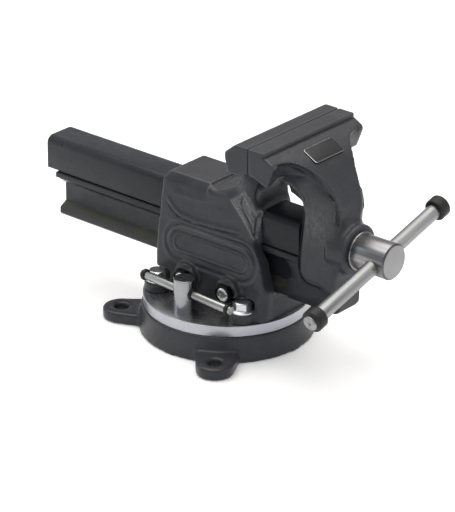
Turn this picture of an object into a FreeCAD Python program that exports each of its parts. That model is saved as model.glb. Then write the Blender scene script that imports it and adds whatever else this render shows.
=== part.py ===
import FreeCAD, Part
import os
from math import cos, pi, radians, sin, sqrt, tan

# Bolt-down swivel bench vise with 125 mm jaws, millimetres.
# +X runs along the spindle towards its handle, +Y across the jaws, +Z up.
# The origin lies on the swivel axis, on the face that the base stands on.

V = FreeCAD.Vector
X_AXIS = V(1, 0, 0)
Y_AXIS = V(0, 1, 0)
Z_AXIS = V(0, 0, 1)

# ---------------------------------------------------------------- clearances
running_gap = 0.3        # round any piece that slides past another
fit_gap = 0.05           # radial, a shaft turning or sliding in its bore
thread_gap = 0.02        # radial, a screw in its tapped hole
bolt_gap = 0.3           # radial, a bolt shank in its clearance hole
head_gap = 0.5           # a bolt head in its counterbore, all round and below
tip_gap = 1.0            # past the tip of a screw in a blind hole
jaw_gap = 0.4            # between the closed jaw faces

# ------------------------------------------------------ swivel disc and base
disc_thickness = 10.0
disc_chamfer = 0.6
base_height = 24.5
base_shoulder = 1.2      # the base's top edge past the disc
base_draft = 3.4
base_wall = 5.6
base_floor = 5.5
lip_thickness = 8.0
hub_radius = 21.0
ear_reach = 16.7         # from the base's foot to an ear's hole
ear_radius = 17.2
ear_thickness = 11.0
ear_root_half_width = 20.5
ear_hole_radius = 6.75
ear_angles = (-149.0, -56.0, 77.5)

# --------------------------------------------------------------------- pivot
pivot_radius = 6.0
pivot_head_flats = 18.0
pivot_head_height = 7.5
pivot_head_sink = 1.5
pivot_washer_radius = 12.0
pivot_washer_thickness = 2.0
pivot_nut_height = 6.5
pivot_nut_reach = 1.0

# -------------------------------------------------- lock screw and its clamp
lock_post_x = -2.0
lock_lip_gap = 0.8       # from the screw's shank to the base's lip
lock_post_gap = 10.6     # from the body's side to the post
lock_post_radius = 9.8
lock_post_height = 31.5
lock_post_chamfer = 0.8
lock_thread_radius = 6.0
lock_stud_insert = 10.0  # how far the stud is screwed into the post
clamp_floor_gap = 2.5
clamp_inner_reach = 16.0
clamp_half_width = 12.0
clamp_nose_lift = 4.5
lock_bar_radius = 3.9
lock_bar_bevel = 0.5
lock_bar_half_length = 55.3
lock_bar_shift = 2.2
lock_bar_height = 18.4   # over the disc
lock_bar_angle = -3.6
lock_ring_radius = 5.2
lock_ring_length = 4.5
lock_ring_inset = 1.6
friction_ring_radius = 5.4
friction_ring_length = 1.8

# -------------------------------------- the slide, from its foot to its roof
slide_lift = 25.2        # its underside over the disc
slide_foot_height = 7.6
slide_foot_shoulder = 4.7
slide_web_height = 17.5
slide_ledge_shoulder = 7.9
slide_ledge_height = 4.2
slide_groove_height = 2.4
slide_box_height = 30.9
slide_half_width = 18.1
slide_corner = 7.0
slide_groove_depth = 1.6
slide_ledge_step = 0.8
slide_web_half_width = 9.4
slide_foot_half_width = 17.4
slide_foot_chamfer = 2.0
slide_wall = 4.3
slide_roof = 3.2
slide_floor = 3.6
slide_bore_corner = 3.0
slide_slot_half_width = 4.4
slide_slot_end_gap = 5.0     # ahead of the nut when the jaws are closed
slide_rear = -203.6
slide_rail_inset = 14.1      # the rail stops short of the box's rear end
slide_front_reach = 21.8     # past the jaw plane
rail_channel_inset = 8.2
rail_nose_height = 19.3
rail_nose_setback = 1.0
rail_nose_radius = 2.0
rail_nose_bevel = 0.6
rail_nose_corner = 5.5

# ------------------------------------------------------------ the fixed jaw
jaw_width = 125.0
jaw_plane = 74.4
jaw_rise = 77.3              # the jaws' top over the slide's roof
jaw_face_height = 23.3
jaw_rear_depth = 14.4        # the next ones are measured from the jaw plane
jaw_shoulder_depth = 26.1
jaw_shoulder_lean = 0.6
jaw_shoulder_drop = 9.0      # and these from the jaws' top
jaw_shoulder_low_drop = 13.2
jaw_tail_depth = 22.4
jaw_tail_drop = 28.2
jaw_chin_depth = 6.0
column_step = 0.5            # wider than the body it stands on
column_root_rise = 8.6       # its back's foot over the slide's roof
column_sink = 6.9
column_overlap = 4.0         # up into the jaw
column_flare_radius = 35.0
# Fractions of the way from the column's root to the jaw's tail, (x, z).
column_back = ((0.26, 0.06), (0.47, 0.17), (0.66, 0.34), (0.83, 0.62))
column_front = ((0.62, 0.82), (0.22, 0.63), (0.0, 0.40))

# ------------------------------------------------------------------ the body
body_rear_bottom = -58.0
body_rear_waist = -55.5
body_rear_top = -54.0
body_toe_depth = 3.4         # behind the jaw plane
body_knee_depth = 10.9
body_waist_depth = 20.4
body_shoulder_depth = 21.5
body_roof = 3.1              # over the slide
body_wall_top = 8.1          # beside the slide
body_wall_waist = 11.6
body_wall_knee = 16.1
body_wall_bottom = 17.6
body_corner = 9.0
saddle_rise = 2.0
saddle_x = 28.0
saddle_front_rise = 1.0
anvil_rise = 8.4
anvil_setback = 6.6
anvil_length = 46.4
anvil_bevel = 4.1
lug_x = 50.0
lug_overhang = 2.5           # a lug's centre past the body's side
lug_edge = 1.1               # from a lug to the disc's edge
lug_radius = 12.0
lug_height = 9.5
cavity_side_gap = 11.6
cavity_end_gap = 3.5
cavity_headroom = 2.0

# The oval panel on both flanks, left bare.
panel_centre_x = 7.5
panel_lift = 25.3            # over the slide's underside
panel_half_length = 50.0
panel_half_height = 15.5
panel_rim = 4.0
panel_rise = 1.6

# ----------------------------------------------------------- body fastening
body_bolt_radius = 5.0
body_bolt_flats = 15.0
body_bolt_flange_radius = 10.9
body_bolt_flange_height = 2.2
body_bolt_head_height = 9.5

# ---------------------------------------------------------------------- gibs
gib_length = 92.0
gib_thickness = 7.5
gib_height = 16.8
gib_top_drop = 0.5           # below the top of the rail's foot
gib_screw_spacing = 49.0
gib_screw_inset = 16.5       # behind the front lugs
gib_screw_radius = 5.0
gib_screw_bevel = 0.7
gib_screw_drop = 9.8
gib_screw_proud = 0.7
gib_socket_flats = 5.0
gib_socket_depth = 5.0
gib_boss_radius = 12.5
gib_boss_rise = 5.5
gib_nut_flats = 16.0
gib_nut_height = 5.4

# ---------------------------------------------------------------- moving jaw
jaw_flat_depth = 17.2        # the flat top
jaw_lip_lean = 0.4
jaw_lip_drop = 4.0
jaw_nose_depth = 28.2        # from the jaw plane
jaw_nose_drop = 11.6         # from the jaws' top
jaw_nose_bevel = 1.2
jaw_heel_depth = 21.0
jaw_heel_drop = 30.5
front_slope = 27.3
front_arc_radius = 64.0
stem_reach = 66.1            # the stem's front from the jaw plane
stem_half_width = 20.2
stem_rear_lean = 6.6         # from the slide's box up to the throat's corner
stem_toe_height = 19.6
stem_toe_setback = 3.0
stem_heel_radius = 14.0      # its round lower corner at the back
stem_flare_radius = 17.0
stem_flare_rise = 4.0
stem_flare_depth = 6.5         # how far behind the plate's front the flare ends
throat_drop = 43.9
throat_corner = 9.0
# A thinner gusset fills the throat's upper corner, (past the jaw plane, below the top).
gusset_edge = ((9.1, 0.0), (9.1, 8.4), (24.8, 12.6), (27.6, 19.0))
gusset_half_width = 16.5
gusset_overlap = 4.0         # into the stem
boss_radius = 23.0
boss_rise = 9.1
boss_length = 21.6
boss_bevel = 1.5
plate_rise = 2.4
plate_depth = 9.0
plate_foot_drop = 14.0       # below the spindle
plate_half_width = 14.6
# The plate's edge: share of its widening to the jaw's end, drop from the top.
plate_edge = (
    (1.0, 7.6), (0.676, 9.8), (0.436, 13.8), (0.322, 17.9), (0.221, 23.2),
    (0.125, 31.2), (0.067, 42.2), (0.021, 56.2), (0.0, 70.2),
)

# ------------------------------------------------------------------- spindle
spindle_drop = 16.3          # below the slide's roof
spindle_thread_radius = 10.0
spindle_thread_length = 264.6
spindle_tip_chamfer = 2.0
spindle_shank_radius = 11.0
spindle_head_radius = 16.4
spindle_head_length = 34.5
spindle_head_chamfer = 1.4
thrust_washer_radius = 17.7
thrust_washer_thickness = 2.6
retainer_length = 7.5
retainer_recess = 3.1
retainer_pin_radius = 2.0
retainer_pin_inset = 0.6
nut_length = 50.0
nut_centre = -4.0
nut_neck_gap = 0.4
nut_foot_half_width = 11.5
nut_foot_height = 8.6
nut_screw_edge = 7.0
nut_screw_radius = 4.0
nut_screw_head_radius = 6.5
nut_screw_head_height = 6.0
nut_screw_socket_flats = 6.0
nut_screw_socket_depth = 3.0
nut_screw_pivot_gap = 1.1    # from a screw's head to the pivot nut
nut_screw_reach = 7.4

# -------------------------------------------------------------------- handle
handle_setback = 13.1        # behind the front of the spindle's head
handle_radius = 6.8
handle_bevel = 0.8
handle_tilt = 15.0
handle_half_length = 95.5
handle_shift = -6.5
handle_dimple_radius = 1.8
handle_dimple_tip = 0.4
handle_dimple_depth = 1.4
handle_ring_radius = 10.2
handle_ring_length = 12.0
handle_ring_inset = 2.0
handle_ring_round = 1.6

# ----------------------------------------------------------------- nameplate
nameplate_length = 39.3
nameplate_height = 17.3
nameplate_thickness = 1.0
nameplate_corner = 2.6
nameplate_depth = 33.2       # its middle from the jaw plane

# -------------------------------------------------------- rail to jaw screws
rail_screw_radius = 5.0
rail_screw_head_radius = 8.0
rail_screw_head_height = 10.0
rail_screw_thread = 16.0
rail_screw_socket_flats = 8.0
rail_screw_socket_depth = 5.0
rail_screw_inset = 11.3      # from the front of the slide's box
rail_screw_pitch = 18.0

# ------------------------------------------------------------ derived places
disc_bottom = base_height
disc_top = disc_bottom + disc_thickness
body_half_bottom = slide_half_width + running_gap + body_wall_bottom
lug_top = disc_top + lug_height
lug_y = body_half_bottom + lug_overhang
lug_places = [V(x, y, 0) for x in (-lug_x, lug_x) for y in (-lug_y, lug_y)]
disc_radius = sqrt(lug_x ** 2 + lug_y ** 2) + lug_radius + lug_edge

pivot_recess_depth = pivot_head_sink + pivot_head_height + pivot_washer_thickness
pivot_nut_corner = pivot_head_flats / (2 * cos(pi / 6))

lock_post_y = -(body_half_bottom + lock_post_gap + lock_post_radius)
lock_dir = V(cos(radians(lock_bar_angle)), sin(radians(lock_bar_angle)), 0)
lock_centre = V(lock_post_x, lock_post_y, disc_top + lock_bar_height)
lock_bar_mid = lock_centre + lock_dir * lock_bar_shift

base_top_radius = disc_radius + base_shoulder
base_bottom_radius = base_top_radius + base_draft
wall_inner = base_top_radius - base_wall
lip_inner = lock_thread_radius + lock_lip_gap - lock_post_y
lip_bottom = base_height - lip_thickness
clamp_bottom = base_floor + clamp_floor_gap
ear_pitch_radius = base_bottom_radius + ear_reach

slide_bottom = disc_top + slide_lift
slide_foot_top = slide_bottom + slide_foot_height
slide_web_bottom = slide_foot_top + slide_foot_shoulder
slide_web_top = slide_web_bottom + slide_web_height
slide_ledge_bottom = slide_web_top + slide_ledge_shoulder
slide_ledge_top = slide_ledge_bottom + slide_ledge_height
slide_box_bottom = slide_ledge_top + slide_groove_height
slide_top = slide_box_bottom + slide_box_height
slide_ledge_half_width = slide_half_width + slide_ledge_step
slide_bore_half_width = slide_half_width - slide_wall
slide_bore_top = slide_top - slide_roof
slide_bore_bottom = slide_ledge_bottom + slide_floor
slide_front = jaw_plane + slide_front_reach
passage_bottom = slide_bottom - running_gap

jaw_top = slide_top + jaw_rise
jaw_half = jaw_width / 2
fixed_face = jaw_plane - jaw_gap / 2
moving_face = jaw_plane + jaw_gap / 2

body_front_bottom = jaw_plane - body_toe_depth
body_front_waist = jaw_plane - body_waist_depth
body_half_top = slide_half_width + running_gap + body_wall_top
body_half_waist = slide_half_width + running_gap + body_wall_waist
body_half_knee = slide_half_width + running_gap + body_wall_knee
body_shoulder = slide_top + body_roof
anvil_top = body_shoulder + anvil_rise
anvil_rear = body_rear_top + anvil_setback
anvil_front = anvil_rear + anvil_length

nut_screw_offset = abs(nut_centre) + pivot_nut_corner + nut_screw_pivot_gap + nut_screw_head_radius
nut_screw_xs = (nut_centre - nut_screw_offset, nut_centre + nut_screw_offset)
nut_foot_rear = nut_centre - nut_screw_offset - nut_screw_edge
nut_foot_front = nut_centre + nut_screw_offset + nut_screw_edge
nut_foot_bottom = passage_bottom - nut_foot_height
cavity_half_length = abs(nut_centre) + nut_screw_offset + nut_screw_head_radius + cavity_end_gap
cavity_half_width = pivot_nut_corner + cavity_side_gap
cavity_top = disc_top + pivot_nut_height + pivot_nut_reach + cavity_headroom

gib_top = slide_foot_top - gib_top_drop
gib_inner = slide_foot_half_width + running_gap
gib_outer = gib_inner + gib_thickness
gib_screw_z = gib_top - gib_screw_drop
gib_boss_face = body_half_bottom + gib_boss_rise
gib_screw_xs = (lug_x - gib_screw_inset - gib_screw_spacing, lug_x - gib_screw_inset)
gib_rear = (gib_screw_xs[0] + gib_screw_xs[1] - gib_length) / 2

spindle_height = slide_top - spindle_drop
jaw_front_edge = moving_face + jaw_flat_depth + jaw_lip_lean
stem_front = jaw_plane + stem_reach
stem_rear = slide_front + running_gap
throat_front = stem_rear + stem_rear_lean
throat_top = jaw_top - throat_drop
rail_nose_top = slide_bottom + rail_nose_height
stem_heel_top = rail_nose_top + stem_heel_radius
rail_nose_front = stem_front - rail_nose_setback
rail_screw_xs = (slide_front + rail_screw_inset, slide_front + rail_screw_inset + rail_screw_pitch)
boss_front = stem_front + boss_rise
head_rear = boss_front + thrust_washer_thickness
head_front = head_rear + spindle_head_length
retainer_seat = stem_rear + retainer_recess
retainer_radius = slide_bore_top - spindle_height - head_gap
handle_x = head_front - handle_setback
handle_dir = V(0, cos(radians(handle_tilt)), sin(radians(handle_tilt)))


# ------------------------------------------------------------------- helpers
def save(name, shape):
    """Write one sub-part, which is one solid or a group of alike solids."""
    if not shape.isValid():
        raise ValueError(name + " is not a valid shape")
    shape.exportStep(os.path.join("parts", name + ".step"))


def rod(radius, start, direction, length):
    """A round bar from start along direction."""
    return Part.makeCylinder(radius, length, start, direction)


def upright(radius, x, y, bottom, top):
    return rod(radius, V(x, y, bottom), Z_AXIS, top - bottom)


def ring(outer, inner, start, direction, length):
    return rod(outer, start, direction, length).cut(rod(inner, start, direction, length))


def block(x0, x1, y0, y1, z0, z1):
    return Part.makeBox(x1 - x0, y1 - y0, z1 - z0, V(x0, y0, z0))


def closed_face(points):
    return Part.Face(Part.makePolygon(list(points) + [points[0]]))


def revolved(outline):
    """Turn an outline of (radius, z) points round the swivel axis."""
    face = closed_face([V(r, 0, z) for r, z in outline])
    return face.revolve(V(0, 0, 0), Z_AXIS, 360)


def side_slab(outline, half_width):
    """Extrude an outline of (x, z) points across Y, to both sides of y = 0."""
    face = closed_face([V(x, -half_width, z) for x, z in outline])
    return face.extrude(V(0, 2 * half_width, 0))


def front_slab(outline, x0, x1):
    """Extrude an outline of (y, z) points along X."""
    face = closed_face([V(x0, y, z) for y, z in outline])
    return face.extrude(V(x1 - x0, 0, 0))


def plan_slab(x0, x1, half_width, corner, z0, z1):
    """An upright slab whose plan is a rectangle with round corners."""
    slab = block(x0, x1, -half_width, half_width, z0, z1)
    return slab.makeFillet(corner, upright_edges(slab))


def upright_edges(slab):
    return [e for e in slab.Edges if abs(e.tangentAt(e.FirstParameter).z) > 0.9]


def mirrored(half_outline):
    """Close a half outline of (y, z) points, y > 0, with its mirror image."""
    return list(half_outline) + [(-y, z) for y, z in reversed(half_outline)]


def arc_points(cx, cz, radius, start, end, steps):
    """Points on an arc in degrees, both ends included."""
    turn = (end - start) / steps
    angles = [radians(start + turn * i) for i in range(steps + 1)]
    return [(cx + radius * cos(a), cz + radius * sin(a)) for a in angles]


def between(root, tip, shares):
    """Points whose x and z lie at the given shares of the way from root to tip."""
    return [(root[0] + (tip[0] - root[0]) * u, root[1] + (tip[1] - root[1]) * w) for u, w in shares]


def hexagon(flats, base, direction, height):
    """A hexagonal prism from base along direction."""
    corner = flats / (2 * cos(pi / 6))
    points = [V(corner * cos(pi / 3 * i), corner * sin(pi / 3 * i), 0) for i in range(6)]
    prism = closed_face(points).extrude(V(0, 0, height))
    prism.Placement = FreeCAD.Placement(base, FreeCAD.Rotation(Z_AXIS, direction))
    return prism


def chamfered_hexagon(flats, base, direction, height):
    """A bolt head or nut whose outer corners are turned off by a cone."""
    corner = flats / (2 * cos(pi / 6))
    drop = (corner - flats / 2) * tan(pi / 6)
    cone = Part.makeCone(corner, flats / 2, drop, base + direction * (height - drop), direction)
    bound = rod(corner, base, direction, height - drop).fuse(cone)
    return hexagon(flats, base, direction, height).common(bound)


def bevelled_rod(radius, start, direction, length, bevel):
    """A round bar with a bevel on both ends."""
    tail = Part.makeCone(radius - bevel, radius, bevel, start, direction)
    middle = rod(radius, start + direction * bevel, direction, length - 2 * bevel)
    tip = Part.makeCone(radius, radius - bevel, bevel, start + direction * (length - bevel), direction)
    return tail.fuse([middle, tip]).removeSplitter()


def crowned_rod(radius, start, direction, length, bevel):
    """A round bar with a bevel on its far end only."""
    middle = rod(radius, start, direction, length - bevel)
    tip = Part.makeCone(radius, radius - bevel, bevel, start + direction * (length - bevel), direction)
    return middle.fuse(tip).removeSplitter()


def cap_screw(head_radius, head_height, shank_radius, shank_length, flats, depth, seat):
    """A screw that points up, its head below the seat and a hex socket in it."""
    bottom = seat - Z_AXIS * head_height
    head = rod(head_radius, bottom, Z_AXIS, head_height)
    shank = rod(shank_radius, seat, Z_AXIS, shank_length)
    return head.fuse(shank).cut(hexagon(flats, bottom, Z_AXIS, depth))


# -------------------------------------------------------------- base casting
def ear(angle):
    """One bolt-down ear: a round end and a flared root that dies into the wall."""
    out = V(cos(radians(angle)), sin(radians(angle)), 0)
    across = V(-out.y, out.x, 0)
    root = out * wall_inner
    tip = out * ear_pitch_radius
    arm = closed_face([
        root + across * ear_root_half_width,
        tip + across * ear_radius,
        tip - across * ear_radius,
        root - across * ear_root_half_width,
    ]).extrude(V(0, 0, ear_thickness))
    return arm.fuse(rod(ear_radius, tip, Z_AXIS, ear_thickness))


def base_casting():
    casting = revolved([
        (0, 0), (base_bottom_radius, 0), (base_top_radius, base_height), (lip_inner, base_height),
        (lip_inner, lip_bottom), (wall_inner, lip_bottom), (wall_inner, base_floor),
        (hub_radius, base_floor), (hub_radius, base_height), (0, base_height),
    ])
    casting = casting.fuse([ear(a) for a in ear_angles]).removeSplitter()
    # The ears must not fill the clamp track inside the wall.
    cuts = [ring(wall_inner, hub_radius, V(0, 0, base_floor), Z_AXIS, lip_bottom - base_floor)]
    cuts.append(upright(pivot_radius + fit_gap, 0, 0, 0, base_height))
    cuts.append(upright(pivot_washer_radius + head_gap, 0, 0, 0, pivot_recess_depth))
    for angle in ear_angles:
        x = ear_pitch_radius * cos(radians(angle))
        y = ear_pitch_radius * sin(radians(angle))
        cuts.append(upright(ear_hole_radius, x, y, 0, ear_thickness))
    return casting.cut(cuts)


# ------------------------------------------------------- disc, pivot, clamp
def swivel_disc():
    disc = revolved([
        (0, disc_bottom), (disc_radius, disc_bottom), (disc_radius, disc_top - disc_chamfer),
        (disc_radius - disc_chamfer, disc_top), (0, disc_top),
    ])
    holes = [upright(pivot_radius + fit_gap, 0, 0, disc_bottom, disc_top)]
    holes.append(upright(lock_thread_radius + bolt_gap, lock_post_x, lock_post_y, disc_bottom, disc_top))
    for place in lug_places:
        holes.append(upright(body_bolt_radius + thread_gap, place.x, place.y, disc_bottom, disc_top))
    return disc.cut(holes)


def pivot_bolt():
    head_top = pivot_head_sink + pivot_head_height
    head = hexagon(pivot_head_flats, V(0, 0, pivot_head_sink), Z_AXIS, pivot_head_height)
    return head.fuse(upright(pivot_radius, 0, 0, head_top, disc_top + pivot_nut_height + pivot_nut_reach))


def pivot_washer():
    seat = V(0, 0, pivot_recess_depth - pivot_washer_thickness)
    return ring(pivot_washer_radius, pivot_radius + fit_gap, seat, Z_AXIS, pivot_washer_thickness)


def pivot_nut():
    nut = chamfered_hexagon(pivot_head_flats, V(0, 0, disc_top), Z_AXIS, pivot_nut_height)
    return nut.cut(upright(pivot_radius + thread_gap, 0, 0, disc_top, disc_top + pivot_nut_height))


def clamp_block():
    """The nut under the base lip that the lock screw pulls up."""
    x0 = lock_post_x - clamp_half_width
    x1 = lock_post_x + clamp_half_width
    inner = lock_post_y + clamp_inner_reach
    nose_top = lip_bottom + clamp_nose_lift
    under_lip = block(x0, x1, -wall_inner, inner, clamp_bottom, lip_bottom)
    under_lip = under_lip.common(upright(wall_inner - running_gap, 0, 0, clamp_bottom, lip_bottom))
    nose = block(x0, x1, -wall_inner, inner, lip_bottom, nose_top)
    nose = nose.common(upright(lip_inner - running_gap, 0, 0, lip_bottom, nose_top))
    hole = upright(lock_thread_radius + thread_gap, lock_post_x, lock_post_y, clamp_bottom, nose_top)
    return under_lip.fuse(nose).removeSplitter().cut(hole)


def lock_stud():
    stud_top = disc_top + lock_stud_insert
    return upright(lock_thread_radius, lock_post_x, lock_post_y, clamp_bottom, stud_top)


def lock_screw():
    """The post of the lock screw, on its stud."""
    foot = V(lock_post_x, lock_post_y, disc_top)
    post = crowned_rod(lock_post_radius, foot, Z_AXIS, lock_post_height, lock_post_chamfer)
    reach = 2 * lock_post_radius
    cross_hole = rod(lock_bar_radius + fit_gap, lock_centre - lock_dir * reach, lock_dir, 2 * reach)
    hole_top = disc_top + lock_stud_insert + tip_gap
    stud_hole = upright(lock_thread_radius + thread_gap, lock_post_x, lock_post_y, disc_top, hole_top)
    return post.cut([cross_hole, stud_hole])


def lock_bar():
    start = lock_bar_mid - lock_dir * lock_bar_half_length
    return bevelled_rod(lock_bar_radius, start, lock_dir, 2 * lock_bar_half_length, lock_bar_bevel)


def lock_bar_ring(side):
    """The black ring pressed on one end of the lock bar; side is -1 or 1."""
    inner_end = lock_bar_half_length - lock_ring_inset - lock_ring_length
    start = lock_bar_mid + lock_dir * (side * inner_end)
    return ring(lock_ring_radius, lock_bar_radius + thread_gap, start, lock_dir * side, lock_ring_length)


def lock_bar_friction_ring():
    """The rubber ring that seats on the mouth of the post's cross hole."""
    length = lock_post_radius + friction_ring_length
    band = ring(friction_ring_radius, lock_bar_radius + fit_gap, lock_centre, lock_dir, length)
    foot = V(lock_post_x, lock_post_y, disc_top)
    return band.cut(rod(lock_post_radius + thread_gap, foot, Z_AXIS, lock_post_height))


# ----------------------------------------------------------------- the slide
def slide_outline(gap):
    """Half of the slide's outer section, (y, z), grown by gap all round."""
    corner_y = slide_half_width - slide_corner
    return arc_points(corner_y, slide_top - slide_corner, slide_corner + gap, 90, 0, 6) + [
        (slide_half_width + gap, slide_box_bottom - gap),
        (slide_half_width - slide_groove_depth + gap, slide_box_bottom - gap),
        (slide_ledge_half_width + gap, slide_ledge_top + gap),
        (slide_ledge_half_width + gap, slide_ledge_bottom - gap),
        (slide_web_half_width + gap, slide_web_top - gap),
        (slide_web_half_width + gap, slide_web_bottom + gap),
        (slide_foot_half_width + gap, slide_foot_top + gap),
        (slide_foot_half_width + gap, slide_bottom + slide_foot_chamfer - gap),
        (slide_foot_half_width - slide_foot_chamfer + gap, slide_bottom - gap),
    ]


def passage():
    """Room for the slide through the body: it guides the box, the ledge and the foot."""
    outline = [p for p in slide_outline(running_gap) if p[0] > slide_web_half_width + 2 * running_gap]
    return front_slab(mirrored(outline), slide_rear, slide_front)


def rail_nose():
    """The solid end of the rail that carries the jaw's stem."""
    x0 = slide_front - rail_screw_inset
    side = side_slab([
        (x0, slide_bottom), (rail_nose_front - rail_nose_radius, slide_bottom),
        (rail_nose_front - rail_nose_bevel, slide_bottom + rail_nose_bevel),
        (rail_nose_front, slide_bottom + rail_nose_radius), (rail_nose_front, rail_nose_top),
        (x0, rail_nose_top),
    ], slide_foot_half_width)
    plan = plan_slab(x0 - rail_nose_corner, rail_nose_front, slide_foot_half_width, rail_nose_corner,
                     slide_bottom, rail_nose_top)
    return side.common(plan)


def heel_arc():
    """The rail's front under the round lower corner of the jaw's stem, (x, z)."""
    return arc_points(stem_rear + stem_heel_radius, stem_heel_top, stem_heel_radius, 270, 180, 8)


def rail_cheeks():
    """Solid front of the rail, where the channel beside the web ends in a round."""
    channel_mid = (slide_ledge_bottom + slide_foot_top) / 2
    channel_half = (slide_ledge_bottom - slide_foot_top) / 2
    x0 = slide_front - rail_channel_inset - channel_half
    cheeks = block(x0, slide_front, -slide_foot_half_width, slide_foot_half_width,
                   (slide_bottom + slide_foot_top) / 2, (slide_ledge_bottom + slide_ledge_top) / 2)
    depth = slide_foot_half_width - slide_web_half_width
    cuts = [rod(channel_half, V(x0, y, channel_mid), Y_AXIS, depth)
            for y in (-slide_foot_half_width, slide_web_half_width)]
    return cheeks.cut(cuts)


def bore_outline(gap):
    """Half of the section of the bore in the box, (y, z), shrunk by gap."""
    return [
        (slide_bore_half_width - slide_bore_corner - gap, slide_bore_top - gap),
        (slide_bore_half_width - gap, slide_bore_top - slide_bore_corner - gap),
        (slide_bore_half_width - gap, slide_bore_bottom + gap),
    ]


def slide_rail():
    """The hollow guide bar: box on top, slotted rail below, solid nose in front."""
    bar = front_slab(mirrored(slide_outline(0)), slide_rear, slide_front)
    bar = bar.cut(block(slide_rear, slide_rear + slide_rail_inset, -slide_half_width, slide_half_width,
                        slide_bottom, slide_ledge_bottom))
    heel = side_slab([(slide_front, rail_nose_top)] + heel_arc() + [(slide_front, stem_heel_top)],
                     slide_foot_half_width)
    bar = bar.fuse([rail_cheeks(), rail_nose(), heel]).removeSplitter()
    # Bore for the spindle and its nut, and the slot that the nut's neck runs in.
    cavity = front_slab(mirrored(bore_outline(0)), slide_rear, slide_front)
    slot = block(slide_rear, nut_foot_front + slide_slot_end_gap, -slide_slot_half_width,
                 slide_slot_half_width, slide_bottom, spindle_height)
    cuts = [cavity, slot]
    counterbore_top = slide_bottom + rail_screw_head_height + head_gap
    for x in rail_screw_xs:
        cuts.append(upright(rail_screw_radius + bolt_gap, x, 0, slide_bottom, stem_heel_top))
        cuts.append(upright(rail_screw_head_radius + head_gap, x, 0, slide_bottom, counterbore_top))
    return bar.cut(cuts)


def rail_screws():
    """Cap screws that hold the jaw's stem on the nose of the rail."""
    seat = slide_bottom + rail_screw_head_height + head_gap
    length = rail_nose_top + rail_screw_thread - seat
    return Part.makeCompound([
        cap_screw(rail_screw_head_radius, rail_screw_head_height, rail_screw_radius, length,
                  rail_screw_socket_flats, rail_screw_socket_depth, V(x, 0, seat))
        for x in rail_screw_xs])


# ------------------------------------------------------------------ the body
def body_block():
    """The lower body, bounded in side view, in front view and in plan."""
    side = side_slab([
        (body_rear_bottom, disc_top), (body_front_bottom, disc_top), (body_front_bottom, slide_bottom),
        (jaw_plane - body_knee_depth, slide_web_top), (body_front_waist, slide_box_bottom),
        (jaw_plane - body_shoulder_depth, body_shoulder), (saddle_x, body_shoulder + saddle_front_rise),
        (anvil_front, body_shoulder + saddle_rise), (anvil_front, anvil_top), (anvil_rear, anvil_top),
        (body_rear_top, body_shoulder), (body_rear_waist, slide_box_bottom),
    ], body_half_bottom)
    front = front_slab(mirrored([
        (body_half_top - anvil_bevel, anvil_top), (body_half_top, body_shoulder),
        (body_half_waist, slide_box_bottom), (body_half_knee, slide_foot_top), (body_half_bottom, disc_top),
    ]), body_rear_bottom, body_front_bottom)
    plan = plan_slab(body_rear_bottom, body_front_bottom, body_half_bottom, body_corner, disc_top, anvil_top)
    return side.common(front).common(plan)


def fixed_jaw():
    """The column over the slide and the jaw block across its top."""
    tail_x = jaw_plane - jaw_tail_depth
    tail_z = jaw_top - jaw_tail_drop
    column_bottom = slide_top - column_sink
    column_top = tail_z + column_overlap
    back_root = (anvil_front, slide_top + column_root_rise)
    front_root = (body_front_waist, column_bottom)
    front_tip = (fixed_face - column_overlap, column_top)
    side = side_slab(
        [back_root] + between(back_root, (tail_x, column_top), column_back)
        + [(tail_x, column_top), front_tip] + between(front_root, front_tip, column_front)
        + [front_root, (anvil_front, column_bottom)],
        jaw_half)
    half_width = body_half_top + column_step
    flare = arc_points(half_width + column_flare_radius, tail_z - column_flare_radius, column_flare_radius,
                       90, 180, 8)
    front = front_slab(mirrored([(jaw_half, column_top)] + flare + [(half_width, column_bottom)]),
                       anvil_front, jaw_plane)
    jaw = side_slab([
        (fixed_face, jaw_top), (jaw_plane - jaw_rear_depth, jaw_top),
        (jaw_plane - jaw_shoulder_depth + jaw_shoulder_lean, jaw_top - jaw_shoulder_drop),
        (jaw_plane - jaw_shoulder_depth, jaw_top - jaw_shoulder_low_drop), (tail_x, tail_z),
        (fixed_face - jaw_chin_depth, tail_z), (fixed_face, jaw_top - jaw_face_height),
    ], jaw_half)
    return side.common(front).fuse(jaw)


def stadium(centre_x, centre_z, half_length, half_height, y, depth):
    """A flat oval seen from the side, from y across by depth."""
    run = half_length - half_height
    bar = block(centre_x - run, centre_x + run, y, y + depth, centre_z - half_height, centre_z + half_height)
    ends = [rod(half_height, V(centre_x + s * run, y, centre_z), Y_AXIS, depth) for s in (-1, 1)]
    return bar.fuse(ends)


def panel_ring(side):
    """The raised oval frame on a flank; its field is left bare."""
    z = slide_bottom + panel_lift
    share = (slide_box_bottom - z) / (slide_box_bottom - slide_foot_top)
    flank = body_half_waist + (body_half_knee - body_half_waist) * share + panel_rise
    depth = flank - slide_half_width
    outer = stadium(panel_centre_x, z, panel_half_length, panel_half_height, slide_half_width, depth)
    inner = stadium(panel_centre_x, z, panel_half_length - panel_rim, panel_half_height - panel_rim,
                    slide_half_width, depth)
    frame = outer.cut(inner)
    return frame if side > 0 else frame.mirror(V(0, 0, 0), Y_AXIS)


def gib_space(side, gap):
    """The room of one gib strip beside the foot of the rail, grown by gap."""
    y0, y1 = sorted((side * (gib_inner - gap), side * (gib_outer + gap)))
    return block(gib_rear - gap, gib_rear + gib_length + gap, y0, y1, gib_top - gib_height, gib_top + gap)


def lug(place):
    """A round seat for one body bolt, run into the body's side."""
    root = body_half_bottom - body_corner
    y0, y1 = sorted((place.y, root if place.y > 0 else -root))
    run = block(place.x - lug_radius, place.x + lug_radius, y0, y1, disc_top, lug_top)
    return run.fuse(upright(lug_radius, place.x, place.y, disc_top, lug_top))


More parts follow.
